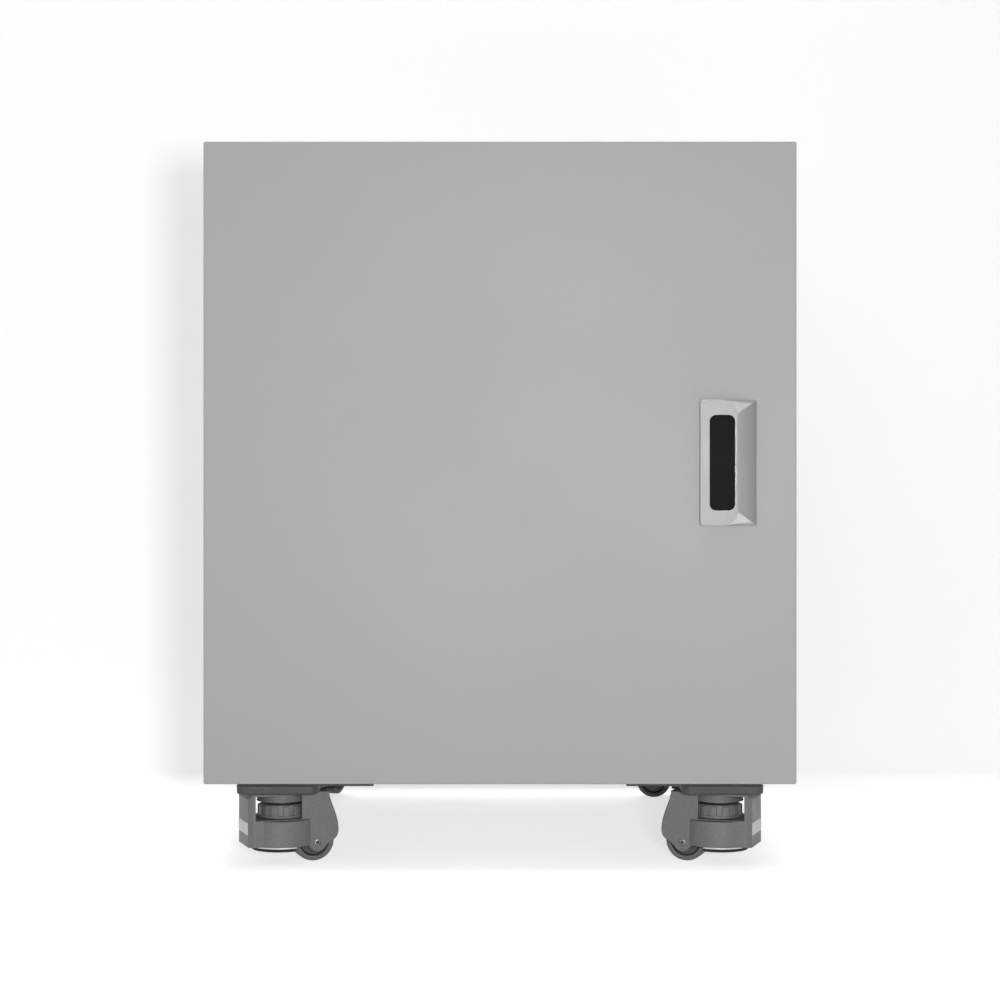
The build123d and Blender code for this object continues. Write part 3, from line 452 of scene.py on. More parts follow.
def opening_loop(grow):
    """The paddle's opening as a loop, grown on every side."""
    x = (paddle_low[0] - OPENING_GAP, paddle_high[0] + OPENING_GAP)
    z = OPENING_HALF_Z - OPENING_R
    radius = OPENING_R + grow
    x = (x[0] + OPENING_R, x[1] - OPENING_R)
    loop = []
    for k, centre in enumerate(((x[0], -z), (x[1], -z), (x[1], z), (x[0], z))):
        loop += quarter(centre, pi + k * pi / 2, radius, radius)
    return loop


def smooth_shade(piece, angle):
    """Shades a piece smooth, with a crease along every edge sharper than an angle."""
    piece.data.polygons.foreach_set("use_smooth", [True] * len(piece.data.polygons))
    piece.data.set_sharp_from_angle(angle=radians(angle))
    return piece


def soften(piece, width, segments=3, angle=30.0):
    """Rounds every sharp edge of a piece in its mesh and shades the rest smooth."""
    bevel = piece.modifiers.new("edges", "BEVEL")
    bevel.width = width
    bevel.segments = segments
    bevel.limit_method = "ANGLE"
    bevel.angle_limit = radians(angle)
    bevel.harden_normals = True
    return smooth_shade(piece, angle)


def finished_mesh(name, mesh, finishes, body):
    """Turns a bmesh into an object with its materials, riding on a body of the frame."""
    bmesh.ops.remove_doubles(mesh, verts=mesh.verts, dist=1e-6)
    bmesh.ops.recalc_face_normals(mesh, faces=mesh.faces)
    data = bpy.data.meshes.new(name)
    mesh.to_mesh(data)
    mesh.free()
    for material in finishes:
        data.materials.append(material)
    piece = bpy.data.objects.new(name, data)
    bpy.context.scene.collection.objects.link(piece)
    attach(piece, body)
    return piece


def plateau_loop(inset):
    """The plateau's outline: small corners on the left, and large ones that end at the ridge."""
    left, right, top = latch_low[0] + LEFT_R, CORNER_START, HALF_Z
    small, large = LEFT_R - inset, CORNER_R - inset
    loop = quarter((left, LEFT_R - top), pi, small, small)
    loop += quarter((right, CORNER_R - top), 1.5 * pi, CORNER_R, large)
    loop += quarter((right, top - CORNER_R), 0, CORNER_R, large)
    return loop + quarter((left, top - LEFT_R), pi / 2, small, small)


def add_plateau(mesh):
    """The plateau, with the rounded rim, the walls and the pocket floor of the paddle's opening."""
    outline = plateau_loop(EDGE)
    rim = opening_loop(RIM)
    corners = [mesh.verts.new(p) for p in bezel_points(outline + rim, PROUD)]
    loops = [[Vector((x, z, 0)) for x, z in loop] for loop in (outline, rim[::-1])]
    order = list(range(len(outline))) + list(range(len(corners) - 1, len(outline) - 1, -1))
    for face in tessellate_polygon(loops):
        mesh.faces.new([corners[order[k]] for k in face]).material_index = PLATEAU
    rings = []
    for step in range(RIM_STEPS + 1):
        turn = (pi / 2) * step / RIM_STEPS
        rings.append(bezel_points(opening_loop(RIM * (1 - sin(turn))), PROUD - RIM * (1 - cos(turn))))
    hole = opening_loop(0)
    floor = bezel_points(hole, DOOR_Y - POCKET_Y)
    for upper, lower in [*zip(rings, rings[1:]), (bezel_points(hole, PROUD - RIM), floor)]:
        ring_patch(mesh, upper, lower, OPENING)
    mesh.faces.new([mesh.verts.new(p) for p in floor]).material_index = POCKET


def add_right_face(mesh):
    """The right face, between the ridge and the outer edge, mitred at both ends."""
    rows = []
    for i in range(SLOPE_STEPS + 1):
        share = i / SLOPE_STEPS
        x = RIDGE_X + (BEZEL_RIGHT - RIDGE_X) * share
        reach = (HALF_Z - CORNER_R) + CORNER_R * share
        height = slope(share, PROUD, FOOT)
        rows.append([bezel_point(x, reach * (2 * j / ARC_STEPS - 1), height) for j in range(ARC_STEPS + 1)])
    grid_patch(mesh, rows, RIGHT_FACE)


def end_edge():
    """The outer edge of the top and bottom faces, from the right-hand corner to the left, as (x, height)."""
    edge = []
    for i in range(ARC_STEPS + 1):
        along = i / ARC_STEPS
        height = FOOT + (PROUD - EDGE - FOOT) * along**1.5
        edge.append((BEZEL_RIGHT + (CORNER_START - BEZEL_RIGHT) * along, height))
    return edge


def add_end_faces(mesh):
    """The top and bottom faces, ruled from the plateau's corner arc to the outer edge."""
    arc = quarter((CORNER_START, HALF_Z - CORNER_R), 0, CORNER_R, CORNER_R - EDGE)
    for side, region in ((-1, BOTTOM_FACE), (1, TOP_FACE)):
        rows = []
        for inner, (x, foot) in zip(arc, end_edge()):
            row = []
            for j in range(SLOPE_STEPS + 1):
                share = j / SLOPE_STEPS
                z = side * (inner[1] + (HALF_Z - inner[1]) * share)
                row.append(bezel_point(inner[0] + (x - inner[0]) * share, z, slope(share, PROUD, foot)))
            rows.append(row)
        grid_patch(mesh, rows, region)


def add_sides(mesh):
    """The chamfer round the plateau's left side, and the side walls down to the door."""
    inner, outer, edge = plateau_loop(EDGE), plateau_loop(0), end_edge()
    count = ARC_STEPS + 1
    left_side = [*range(3 * count - 1, 4 * count), *range(0, count + 1)]
    upper = bezel_points([inner[k] for k in left_side], PROUD)
    lower = bezel_points([outer[k] for k in left_side], PROUD - EDGE)
    grid_patch(mesh, [upper, lower], CHAMFER)
    wall = [(*outer[k], PROUD - EDGE) for k in left_side]
    wall += [(x, -HALF_Z, height) for x, height in edge[-2::-1]]
    wall += [(BEZEL_RIGHT, HALF_Z * (2 * j / ARC_STEPS - 1), FOOT) for j in range(1, ARC_STEPS)]
    wall += [(x, HALF_Z, height) for x, height in edge[:-1]]
    foot = bezel_points([(x, z) for x, z, _ in wall], 0.0)
    ring_patch(mesh, [bezel_point(*p) for p in wall], foot, SIDE_WALL)


lacquer = finish(
    "bezel_lacquer",
    (0.36, 0.375, 0.37),
    (0.33, 0.345, 0.34),
    (0.60, 0.61, 0.61),
    {
        "Speck": 0.5, "Grain Scale": 1500.0, "Cloud Scale": 25.0, "Cloud": 0.010,
        "Roughness": 0.42, "Roughness Spread": 0.03,
    },
    {"Radius": 0.0004, "Wear And Light": 0.25, "Patch Scale": 90.0},
    bump=0.05,
    metallic=0.10,
    coat=0.03,
    specular=0.3,
)
# A lighter, glossier copy of the same lacquer: painted highlight on the bezel's top and bottom faces and
# rims.
highlight_lacquer = finish(
    "bezel_highlight_lacquer_copy",
    (0.58, 0.59, 0.59),
    (0.54, 0.55, 0.55),
    (0.80, 0.81, 0.81),
    {
        "Speck": 0.5, "Grain Scale": 1500.0, "Cloud Scale": 25.0, "Cloud": 0.010,
        "Roughness": 0.25, "Roughness Spread": 0.03,
    },
    {"Radius": 0.0004, "Wear And Light": 0.25, "Patch Scale": 90.0},
    bump=0.05,
    metallic=0.50,
)
bezel_mesh = bmesh.new()
for add_region in (add_plateau, add_right_face, add_end_faces, add_sides):
    add_region(bezel_mesh)
bmesh.ops.remove_doubles(bezel_mesh, verts=bezel_mesh.verts, dist=1e-6)
for crease in bezel_mesh.edges:
    crease.smooth = len({face.material_index for face in crease.link_faces}) < 2
# Faces outside the plain lacquer regions get the copy with the painted highlight.
for face in bezel_mesh.faces:
    face.material_index = 0 if face.material_index in PLAIN_LACQUER_REGIONS else 1
    face.smooth = True
bezel = finished_mesh("latch_bezel", bezel_mesh, [lacquer, highlight_lacquer], "door")
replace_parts(bezel, "latch_housing")


# Latch case: the back of the latch, behind the door skin, with the slot that the bolt slides in. Zinc-plated,
# closed by a riveted back and held to the bezel through the door.
def block(mesh, low, high, slot=0):
    """A box between two corners."""
    corners = [(x, y, z) for x in (low[0], high[0]) for y in (low[1], high[1]) for z in (low[2], high[2])]
    v = [mesh.verts.new(c) for c in corners]
    for a, b, c, d in ((0, 1, 3, 2), (4, 6, 7, 5), (0, 4, 5, 1), (2, 3, 7, 6), (0, 2, 6, 4), (1, 5, 7, 3)):
        mesh.faces.new((v[a], v[b], v[c], v[d])).material_index = slot


bolt_low, bolt_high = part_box("latch_bolt")
CASE_X = (latch_high[0] - 52.1 * MM, latch_high[0] - 2.1 * MM)
CASE_HALF_Z = 53.0 * MM
RIVET_HALF = 3.2 * MM
RIVET_HIGH = 1.2 * MM
BOLT_GAP = 0.3 * MM


def make_latch_case():
    """Four blocks round the bolt's slot, with a square rivet head near each corner of the back."""
    mesh = bmesh.new()
    low_z, high_z = MIDDLE_Z - CASE_HALF_Z, MIDDLE_Z + CASE_HALF_Z
    front, back = POCKET_Y + 0.5 * MM, latch_high[1]
    slot_low, slot_high = bolt_low[2] - BOLT_GAP, bolt_high[2] + BOLT_GAP
    block(mesh, (CASE_X[0], front, low_z), (CASE_X[1], back, slot_low))
    block(mesh, (CASE_X[0], front, slot_high), (CASE_X[1], back, high_z))
    block(mesh, (CASE_X[0], front, slot_low), (CASE_X[1], bolt_low[1] - BOLT_GAP, slot_high))
    block(mesh, (CASE_X[0], bolt_high[1] + BOLT_GAP, slot_low), (CASE_X[1], back, slot_high))
    for dx in (0.2, 0.8):
        for dz in (0.08, 0.92):
            x = CASE_X[0] + dx * (CASE_X[1] - CASE_X[0])
            z = low_z + dz * (high_z - low_z)
            low = (x - RIVET_HALF, back, z - RIVET_HALF)
            block(mesh, low, (x + RIVET_HALF, back + RIVET_HIGH, z + RIVET_HALF))
    return mesh


latch_case = finished_mesh("latch_case", make_latch_case(), [zinc], "door")
soften(latch_case, 0.5 * MM, 2)


# Paddle: the black insert that is pressed to open the door. Moulded glass-filled nylon with a fine grain,
# hinged on its left edge behind the bezel.
black_plastic = finish(
    "paddle_plastic",
    (0.0085, 0.0085, 0.0086),
    (0.0120, 0.0120, 0.0121),
    (0.05, 0.05, 0.05),
    {
        "Speck": 0.5, "Grain Scale": 1300.0, "Cloud Scale": 30.0, "Cloud": 0.08,
        "Roughness": 0.55, "Roughness Spread": 0.06,
    },
    {"Radius": 0.0006, "Wear And Light": 0.15, "Patch Scale": 60.0},
    bump=0.30,
    specular=0.06,
)
paint(black_plastic, "latch_paddle")


# Rear panel screws: pan heads of zinc-plated steel, with a flat dark cross on top as painted shade for the
# cross recess. They are driven through the rear panel into the folded flanges of the sides.
def turned(mesh, profile, place, steps=32, slots=None):
    """Adds a round body: (radius, height) points turned about Z, moved by a matrix."""
    rings = []
    for radius, height in profile:
        count = 1 if radius == 0 else steps
        angles = [2 * pi * i / steps for i in range(count)]
        points = [Vector((radius * cos(a), radius * sin(a), height)) for a in angles]
        rings.append([mesh.verts.new(place @ point) for point in points])
    for k, (lower, upper) in enumerate(zip(rings, rings[1:])):
        slot = slots[k] if slots else 0
        for i in range(steps):
            j = (i + 1) % steps
            if len(lower) == 1:
                corners = (lower[0], upper[j], upper[i])
            elif len(upper) == 1:
                corners = (lower[i], lower[j], upper[0])
            else:
                corners = (lower[i], lower[j], upper[j], upper[i])
            mesh.faces.new(corners).material_index = slot


def facing(place, direction):
    """A matrix that puts a piece at a place with its Z along a direction."""
    turn = Vector(direction).to_track_quat("Z", "Y").to_matrix().to_4x4()
    return Matrix.Translation(Vector(place)) @ turn


def cross_head(mesh, place, radius, height, slot=1):
    """A pan head with a flat dark cross on top, painted shade for a cross recess, on the plane of its matrix.
    """
    dome = [(0, height * 0.45), (radius * 0.16, height * 0.45), (radius * 0.30, height * 0.98)]
    dome += [(radius * 0.55, height), (radius * 0.82, height * 0.80), (radius, height * 0.40)]
    dome += [(radius, 0), (0, 0)]
    turned(mesh, dome, place, 24)
    for turn in (0, pi / 2):
        arm = place @ Matrix.Rotation(turn, 4, "Z")
        half, width, top = radius * 0.58, radius * 0.13, height * 1.01
        corners = [(-half, -width), (half, -width), (half, width), (-half, width)]
        face = mesh.faces.new([mesh.verts.new(arm @ Vector((x, y, top))) for x, y in corners])
        face.material_index = slot


# Dark finish for the flat crosses on the screw heads: painted shade standing for the cross recesses.
painted_recess_shade = finish(
    "painted_recess_shade",
    (0.02, 0.02, 0.02),
    (0.03, 0.03, 0.03),
    (0.03, 0.03, 0.03),
    {
        "Speck": 0.4, "Grain Scale": 400.0, "Cloud Scale": 20.0, "Cloud": 0.05,
        "Roughness": 0.7, "Roughness Spread": 0.05,
    },
    {"Radius": 0.0002, "Wear And Light": 0.0, "Patch Scale": 40.0},
    bump=0.1,
)
screw_low, screw_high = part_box("panel_screws")
SCREW_R = 4.5 * MM
SCREW_ROWS = 4
SCREW_PITCH = (screw_high[2] - screw_low[2] - 2 * SCREW_R) / (SCREW_ROWS - 1)
SCREW_HEAD = (screw_high[1] - screw_low[1]) * 0.97
mesh = bmesh.new()
for x in (screw_low[0] + SCREW_R, screw_high[0] - SCREW_R):
    for row in range(SCREW_ROWS):
        z = screw_low[2] + SCREW_R + row * SCREW_PITCH
        cross_head(mesh, facing((x, screw_low[1], z), (0, 1, 0)), SCREW_R, SCREW_HEAD)
screw_heads = finished_mesh("panel_screw_heads", mesh, [zinc, painted_recess_shade], "cabinet")
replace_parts(soften(screw_heads, 0.1 * MM, 1, 50.0), "panel_screws")


# Cable grommets: moulded black rubber with a dull bloom, pressed into the gland plate. The levelling feet's
# pads are of the same rubber.
rubber = finish(
    "moulded_rubber",
    (0.022, 0.022, 0.023),
    (0.040, 0.040, 0.041),
    (0.06, 0.06, 0.06),
    {
        "Speck": 0.5, "Grain Scale": 500.0, "Cloud Scale": 25.0, "Cloud": 0.12,
        "Roughness": 0.78, "Roughness Spread": 0.10,
    },
    {"Radius": 0.0008, "Wear And Light": 0.2, "Patch Scale": 60.0},
    bump=0.35,
    specular=0.3,
)
paint(rubber, "cable_grommets")


# Earth stud: where the cabinet's earth lead is bolted on. An M8 brass stud pressed into the gland plate,
# with its rolled thread, a zinc-plated washer and a nut.
brass = finish(
    "stud_brass",
    (0.62, 0.44, 0.20),
    (0.50, 0.34, 0.15),
    (0.80, 0.62, 0.34),
    {
        "Speck": 0.4, "Grain Scale": 300.0, "Cloud Scale": 60.0, "Cloud": 0.10,
        "Roughness": 0.32, "Roughness Spread": 0.10,
    },
    {"Radius": 0.0003, "Wear And Light": 0.6, "Patch Scale": 120.0},
    bump=0.1,
    metallic=1.0,
)
paint(brass, "ground_stud")


def thread_profile(radius, length, pitch, start=0.0):
    """A stack of thread crests along a shaft, as (radius, height) points."""
    points = [(radius * 0.86, start)]
    turns = int(length / pitch)
    for turn in range(turns):
        base = start + turn * pitch
        points += [(radius, base + 0.5 * pitch), (radius * 0.86, base + pitch)]
    return points


STUD_R = 4.0 * MM
STUD_LENGTH = 16.0 * MM
WASHER_R = 8.5 * MM
WASHER = 1.6 * MM
NUT_R = 7.5 * MM
NUT = 6.5 * MM
stud_low, stud_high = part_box("ground_stud")
stud_x, stud_z = (stud_low[0] + stud_high[0]) / 2, (stud_low[2] + stud_high[2]) / 2
stud_frame = facing((stud_x, stud_high[1] - STUD_LENGTH, stud_z), (0, 1, 0))
mesh = bmesh.new()
thread = thread_profile(STUD_R, 15.0 * MM, 1.25 * MM, 0.4 * MM)
turned(mesh, [(r * 1.015, z) for r, z in thread], stud_frame, 24)
washer = [(4.2 * MM, 0), (WASHER_R, 0), (WASHER_R, WASHER), (4.2 * MM, WASHER)]
turned(mesh, washer, stud_frame, 36, [1, 1, 1])
nut = [(4.1 * MM, 0), (NUT_R * 0.9, 0), (NUT_R, 0.6 * MM)]
nut += [(NUT_R, NUT - 0.6 * MM), (NUT_R * 0.9, NUT), (4.1 * MM, NUT)]
turned(mesh, nut, stud_frame @ Matrix.Translation((0, 0, WASHER)), 6, [1] * 5)
stud_parts = finished_mesh("earth_stud_nut", mesh, [brass, zinc], "cabinet")
soften(stud_parts, 0.2 * MM, 2, 40.0)


# Casters: grey-painted aluminium castings with a coarse grain. A nylon thumbwheel with square lobes winds a
# steel foot plate with a rubber pad down to the floor, beside a hard nylon wheel on a pressed-in axle.
HEADINGS = {"front_left": 20.0, "front_right": 160.0, "rear_left": 68.0, "rear_right": 172.0}
WHEEL_R = 21.5 * MM
WHEEL_HALF = 11.0 * MM
TREAD_ROUND = 2.5 * MM
TREAD_STEPS = 6
TRAIL = 33.0 * MM  # from the swivel's axis to the wheel's
PATCH_END = -40.15 * MM  # the outer end of the casting, just proud of it
PATCH_HALF = 20.8 * MM
PATCH_Z = (32.0 * MM, 44.6 * MM)
PATCH_THICK = 0.3 * MM
LUG_FACE = 25.1 * MM

cast = finish(
    "caster_cast",
    (0.150, 0.150, 0.150),
    (0.250, 0.250, 0.250),
    (0.300, 0.300, 0.300),
    {
        "Speck": 0.9, "Grain Scale": 900.0, "Cloud Scale": 30.0, "Cloud": 0.06,
        "Roughness": 0.50, "Roughness Spread": 0.08,
    },
    # The lighter edge colour is partly wear and partly painted highlight on the casting's rounded edges.
    {"Radius": 0.0014, "Wear And Light": 0.5, "Patch Scale": 70.0},
    bump=0.6,
)
# Near-black for the caster plates and rails and for the axle ends' discs: partly dark paint, partly painted
# shade.
dark_plate_and_shade = finish(
    "caster_dark_plate_and_shade",
    (0.045, 0.045, 0.045),
    (0.090, 0.090, 0.090),
    (0.120, 0.120, 0.120),
    {
        "Speck": 0.8, "Grain Scale": 900.0, "Cloud Scale": 30.0, "Cloud": 0.06,
        "Roughness": 0.55, "Roughness Spread": 0.08,
    },
    {"Radius": 0.0012, "Wear And Light": 0.4, "Patch Scale": 70.0},
    bump=0.5,
)
bare_metal = finish(
    "bare_aluminium",
    (0.60, 0.60, 0.60),
    (0.48, 0.48, 0.48),
    (0.75, 0.75, 0.75),
    {
        "Speck": 0.6, "Grain Scale": 900.0, "Cloud Scale": 80.0, "Cloud": 0.06,
        "Roughness": 0.45, "Roughness Spread": 0.08,
    },
    {"Radius": 0.0003, "Wear And Light": 0.5, "Patch Scale": 70.0},
    bump=0.3,
    metallic=0.4,
)
nylon = finish(
    "thumbwheel_nylon",
    (0.190, 0.190, 0.190),
    (0.260, 0.260, 0.260),
    (0.450, 0.450, 0.450),
    {
        "Speck": 0.7, "Grain Scale": 800.0, "Cloud Scale": 40.0, "Cloud": 0.05,
        "Roughness": 0.45, "Roughness Spread": 0.06,
    },
    {"Radius": 0.0008, "Wear And Light": 0.7, "Patch Scale": 50.0},
    bump=0.3,
)
wheel_disc = finish(
    "wheel_disc",
    (0.060, 0.060, 0.060),
    (0.110, 0.110, 0.110),
    (0.150, 0.150, 0.150),
    {
        "Speck": 0.8, "Grain Scale": 900.0, "Cloud Scale": 40.0, "Cloud": 0.08,
        "Roughness": 0.50, "Roughness Spread": 0.08,
    },
    {"Radius": 0.0008, "Wear And Light": 0.3, "Patch Scale": 50.0},
    bump=0.4,
)
wheel_tread = finish(
    "wheel_tread",
    (0.150, 0.150, 0.150),
    (0.220, 0.220, 0.220),
    (0.260, 0.260, 0.260),
    {
        "Speck": 0.7, "Grain Scale": 900.0, "Cloud Scale": 60.0, "Cloud": 0.12,
        "Roughness": 0.55, "Roughness Spread": 0.10,
    },
    {"Radius": 0.0008, "Wear And Light": 0.3, "Patch Scale": 50.0},
    bump=0.4,
)


def wheel_profile():
    """Half of the wheel's section, from the axle out to the tread and back, as (radius, height)."""
    profile = [(3.4 * MM, 12.0 * MM), (7.3 * MM, 12.0 * MM), (7.8 * MM, 8.2 * MM)]
    profile += [(14.6 * MM, 8.0 * MM), (16.4 * MM, 10.9 * MM)]
    for i in range(TREAD_STEPS + 1):
        angle = (pi / 2) * (1 - i / TREAD_STEPS)
        radius = WHEEL_R - TREAD_ROUND * (1 - cos(angle))
        profile.append((radius, WHEEL_HALF - TREAD_ROUND * (1 - sin(angle))))
    return profile


for corner, heading in HEADINGS.items():
    paint(cast, f"caster_housing_{corner}")
    paint(nylon, f"caster_thumbwheel_{corner}")
    paint(rubber, f"leveler_pad_{corner}")
    paint(zinc, f"leveler_stem_{corner}", f"caster_axle_{corner}")
    wheel_low, wheel_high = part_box(f"caster_wheel_{corner}")
    centre = Vector([(a + b) / 2 for a, b in zip(wheel_low, wheel_high)])
    along = Vector((cos(radians(heading)), sin(radians(heading)), 0.0))
    across = Vector((-along.y, along.x, 0.0))
    upper = wheel_profile()
    profile = [*upper, *[(r, -h) for r, h in reversed(upper)], upper[0]]
    slots = [0] * 4 + [1] * (len(profile) - 10) + [0] * 5
    finishes = [wheel_disc, wheel_tread]
    mesh = bmesh.new()
    turned(mesh, profile, facing(centre, across), 72, slots)
    wheel = finished_mesh(f"wheel_{corner}", mesh, finishes, f"caster_wheel_{corner}")
    smooth_shade(wheel, 35)
    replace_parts(wheel, f"caster_wheel_{corner}")
    # Ground patch on the casting's end face, and the axle's countersunk ends in the two lugs: a raised lip
    # round a dark disc, which is painted shade for the recess.
    swivel = centre - along * TRAIL
    mesh = bmesh.new()
    rows = []
    for z in PATCH_Z:
        foot = Vector((swivel.x, swivel.y, z)) + along * PATCH_END
        rows.append([foot + across * v for v in (-PATCH_HALF, PATCH_HALF)])
    grid_patch(mesh, rows)
    patch = finished_mesh(f"ground_patch_{corner}", mesh, [bare_metal], f"caster_{corner}")
    thick = patch.modifiers.new("thickness", "SOLIDIFY")
    thick.thickness = PATCH_THICK
    thick.offset = 0.0
    mesh = bmesh.new()
    for side in (-1, 1):
        end = centre + across * side * LUG_FACE
        ring = [(0, 0.15 * MM), (1.5 * MM, 0.25 * MM), (2.2 * MM, 0.0)]
        turned(mesh, ring, facing(end, across * side), 24, [0, 0])
        lip = [(3.1 * MM, 0.6 * MM), (3.3 * MM, 1.15 * MM), (4.1 * MM, 1.15 * MM), (4.3 * MM, 0.7 * MM)]
        turned(mesh, lip, facing(end, across * side), 32, [1, 1, 1])
    axle = finished_mesh(f"axle_ends_{corner}", mesh, [dark_plate_and_shade, cast], f"caster_{corner}")
    axle.data.polygons.foreach_set("use_smooth", [True] * len(axle.data.polygons))
# The caster plates and rails are near-black partly as painted shade under the cabinet's base and door edge.
paint(dark_plate_and_shade, "caster_plates", "caster_rails")


# Battery modules: black-painted steel cases that fill the rack, each with a fascia, two handles, a breaker
# and four battery posts under coloured caps.
module_coat = finish(
    "module_coat",
    (0.030, 0.031, 0.033),
    (0.050, 0.051, 0.053),
    (0.070, 0.070, 0.072),
    {
        "Speck": 0.7, "Grain Scale": 1000.0, "Cloud Scale": 8.0, "Cloud": 0.05,
        "Roughness": 0.50, "Roughness Spread": 0.06,
    },
    {"Radius": 0.0006, "Wear And Light": 0.4, "Patch Scale": 40.0},
    bump=0.4,
)
satin_metal = finish(
    "handle_metal",
    (0.55, 0.55, 0.56),
    (0.47, 0.47, 0.48),
    (0.62, 0.62, 0.62),
    {
        "Speck": 0.4, "Grain Scale": 600.0, "Cloud Scale": 30.0, "Cloud": 0.05,
        "Roughness": 0.30, "Roughness Spread": 0.06,
    },
    {"Radius": 0.0005, "Wear And Light": 0.3, "Patch Scale": 40.0},
    bump=0.08,
    metallic=1.0,
)
cell_can = finish(
    "cell_can",
    (0.10, 0.20, 0.42),
    (0.13, 0.24, 0.46),
    (0.20, 0.32, 0.52),
    {
        "Speck": 0.3, "Grain Scale": 300.0, "Cloud Scale": 10.0, "Cloud": 0.06,
        "Roughness": 0.38, "Roughness Spread": 0.08,
    },
    {"Radius": 0.0010, "Wear And Light": 0.2, "Patch Scale": 40.0},
    bump=0.1,
)
lever_grey = finish(
    "lever_plastic",
    (0.36, 0.37, 0.36),
    (0.32, 0.33, 0.32),
    (0.48, 0.48, 0.48),
    {
        "Speck": 0.4, "Grain Scale": 900.0, "Cloud Scale": 30.0, "Cloud": 0.04,
        "Roughness": 0.42, "Roughness Spread": 0.05,
    },
    {"Radius": 0.0006, "Wear And Light": 0.3, "Patch Scale": 60.0},
    bump=0.15,
)
breaker_grey = finish(
    "breaker_plastic",
    (0.46, 0.46, 0.45),
    (0.42, 0.42, 0.41),
    (0.56, 0.56, 0.55),
    {
        "Speck": 0.4, "Grain Scale": 900.0, "Cloud Scale": 25.0, "Cloud": 0.03,
        "Roughness": 0.45, "Roughness Spread": 0.05,
    },
    {"Radius": 0.0006, "Wear And Light": 0.3, "Patch Scale": 60.0},
    bump=0.15,
)
paint(module_coat, "module_cases", "module_fascias")
paint(satin_metal, "module_handles")
paint(cell_can, "battery_cells")
paint(breaker_grey, "breaker_bodies")
paint(lever_grey, "breaker_lever_1", "breaker_lever_2", "breaker_lever_3", "breaker_lever_4")

fascia_low, fascia_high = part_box("module_fascias")
BAYS = 4
FASCIA_GAP = 0.85 * MM
BAY = (fascia_high[2] - fascia_low[2] + FASCIA_GAP) / BAYS
BAY_MIDDLES = [fascia_low[2] - FASCIA_GAP / 2 + BAY * (i + 0.5) for i in range(BAYS)]
FASCIA_Y = fascia_low[1]
POST_XS = (-165.0 * MM, -125.0 * MM, -85.0 * MM, -45.0 * MM)
POST_Z = -24.0 * MM

cap_orange = finish(
    "cap_orange",
    (0.80, 0.22, 0.015),
    (0.70, 0.18, 0.012),
    (0.90, 0.35, 0.06),
    {
        "Speck": 0.4, "Grain Scale": 700.0, "Cloud Scale": 30.0, "Cloud": 0.04,
        "Roughness": 0.42, "Roughness Spread": 0.05,
    },
    {"Radius": 0.0006, "Wear And Light": 0.3, "Patch Scale": 60.0},
    bump=0.2,
)
mesh = bmesh.new()
for middle in BAY_MIDDLES:
    for number, x in enumerate(POST_XS):
        colour = number % 2
        stand = facing((x, FASCIA_Y, middle + POST_Z), (0, -1, 0))
        skirt = [(0, 0), (13 * MM, 0), (13 * MM, 6.2 * MM), (12.2 * MM, 7 * MM), (9 * MM, 7 * MM)]
        turned(mesh, skirt, stand, 40, [colour] * 4)
        collar = [(9 * MM, 7 * MM), (9 * MM, 15.2 * MM), (8.2 * MM, 16 * MM), (4 * MM, 16 * MM)]
        turned(mesh, collar, stand, 40, [colour] * 3)
        turned(mesh, [(7.5 * MM, 16 * MM), (7.5 * MM, 17.6 * MM), (4 * MM, 17.6 * MM)], stand, 36, [3, 3])
        nut = [(4.0 * MM, 17.6 * MM), (6.2 * MM, 17.6 * MM), (6.9 * MM, 18.2 * MM)]
        nut += [(6.9 * MM, 21.6 * MM), (6.2 * MM, 22.2 * MM), (4.0 * MM, 22.2 * MM)]
        turned(mesh, nut, stand, 6, [3] * 5)
        tip = [(3.9 * MM, 22.2 * MM), (3.9 * MM, 23.4 * MM), (3.2 * MM, 24 * MM), (0, 24 * MM)]
        turned(mesh, tip, stand, 32, [2] * 3)
finishes = [cap_orange, black_plastic, brass, zinc]
posts = finished_mesh("battery_posts", mesh, finishes, "cabinet")
smooth_shade(posts, 32)
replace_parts(posts, "module_terminals")


# Fascia fittings: zinc-plated flange screws in the rack slots, moulded sockets with sprung contacts behind
# the port opening, and a row of small green lenses pressed in above it. None of them carries a mark.
RACK_SLOT_X = 232.55 * MM
RACK_SLOT_Z = 57.15 * MM
PORT_X = 20.0 * MM
PORT_Z = -24.0 * MM
LENS_Z = -6.0 * MM
lens_material = finish(
    "indicator_lens",
    (0.18, 0.42, 0.16),
    (0.16, 0.38, 0.15),
    (0.25, 0.50, 0.22),
    {
        "Speck": 0.2, "Grain Scale": 500.0, "Cloud Scale": 50.0, "Cloud": 0.05,
        "Roughness": 0.18, "Roughness Spread": 0.03,
    },
    {"Radius": 0.0003, "Wear And Light": 0.2, "Patch Scale": 60.0},
    bump=0.05,
    coat=0.5,
)
mesh = bmesh.new()
for middle in BAY_MIDDLES:
    for x in (-RACK_SLOT_X, RACK_SLOT_X):
        for z in (-RACK_SLOT_Z, RACK_SLOT_Z):
            stand = facing((x, FASCIA_Y, middle + z), (0, -1, 0))
            turned(mesh, [(0, 0), (6.4 * MM, 0), (6.4 * MM, 0.9 * MM), (0, 0.9 * MM)], stand, 32)
            cross_head(mesh, stand @ Matrix.Translation((0, 0, 0.9 * MM)), 4.8 * MM, 3.0 * MM)
screws = finished_mesh("rack_screws", mesh, [zinc, painted_recess_shade], "cabinet")
soften(screws, 0.12 * MM, 1, 50.0)

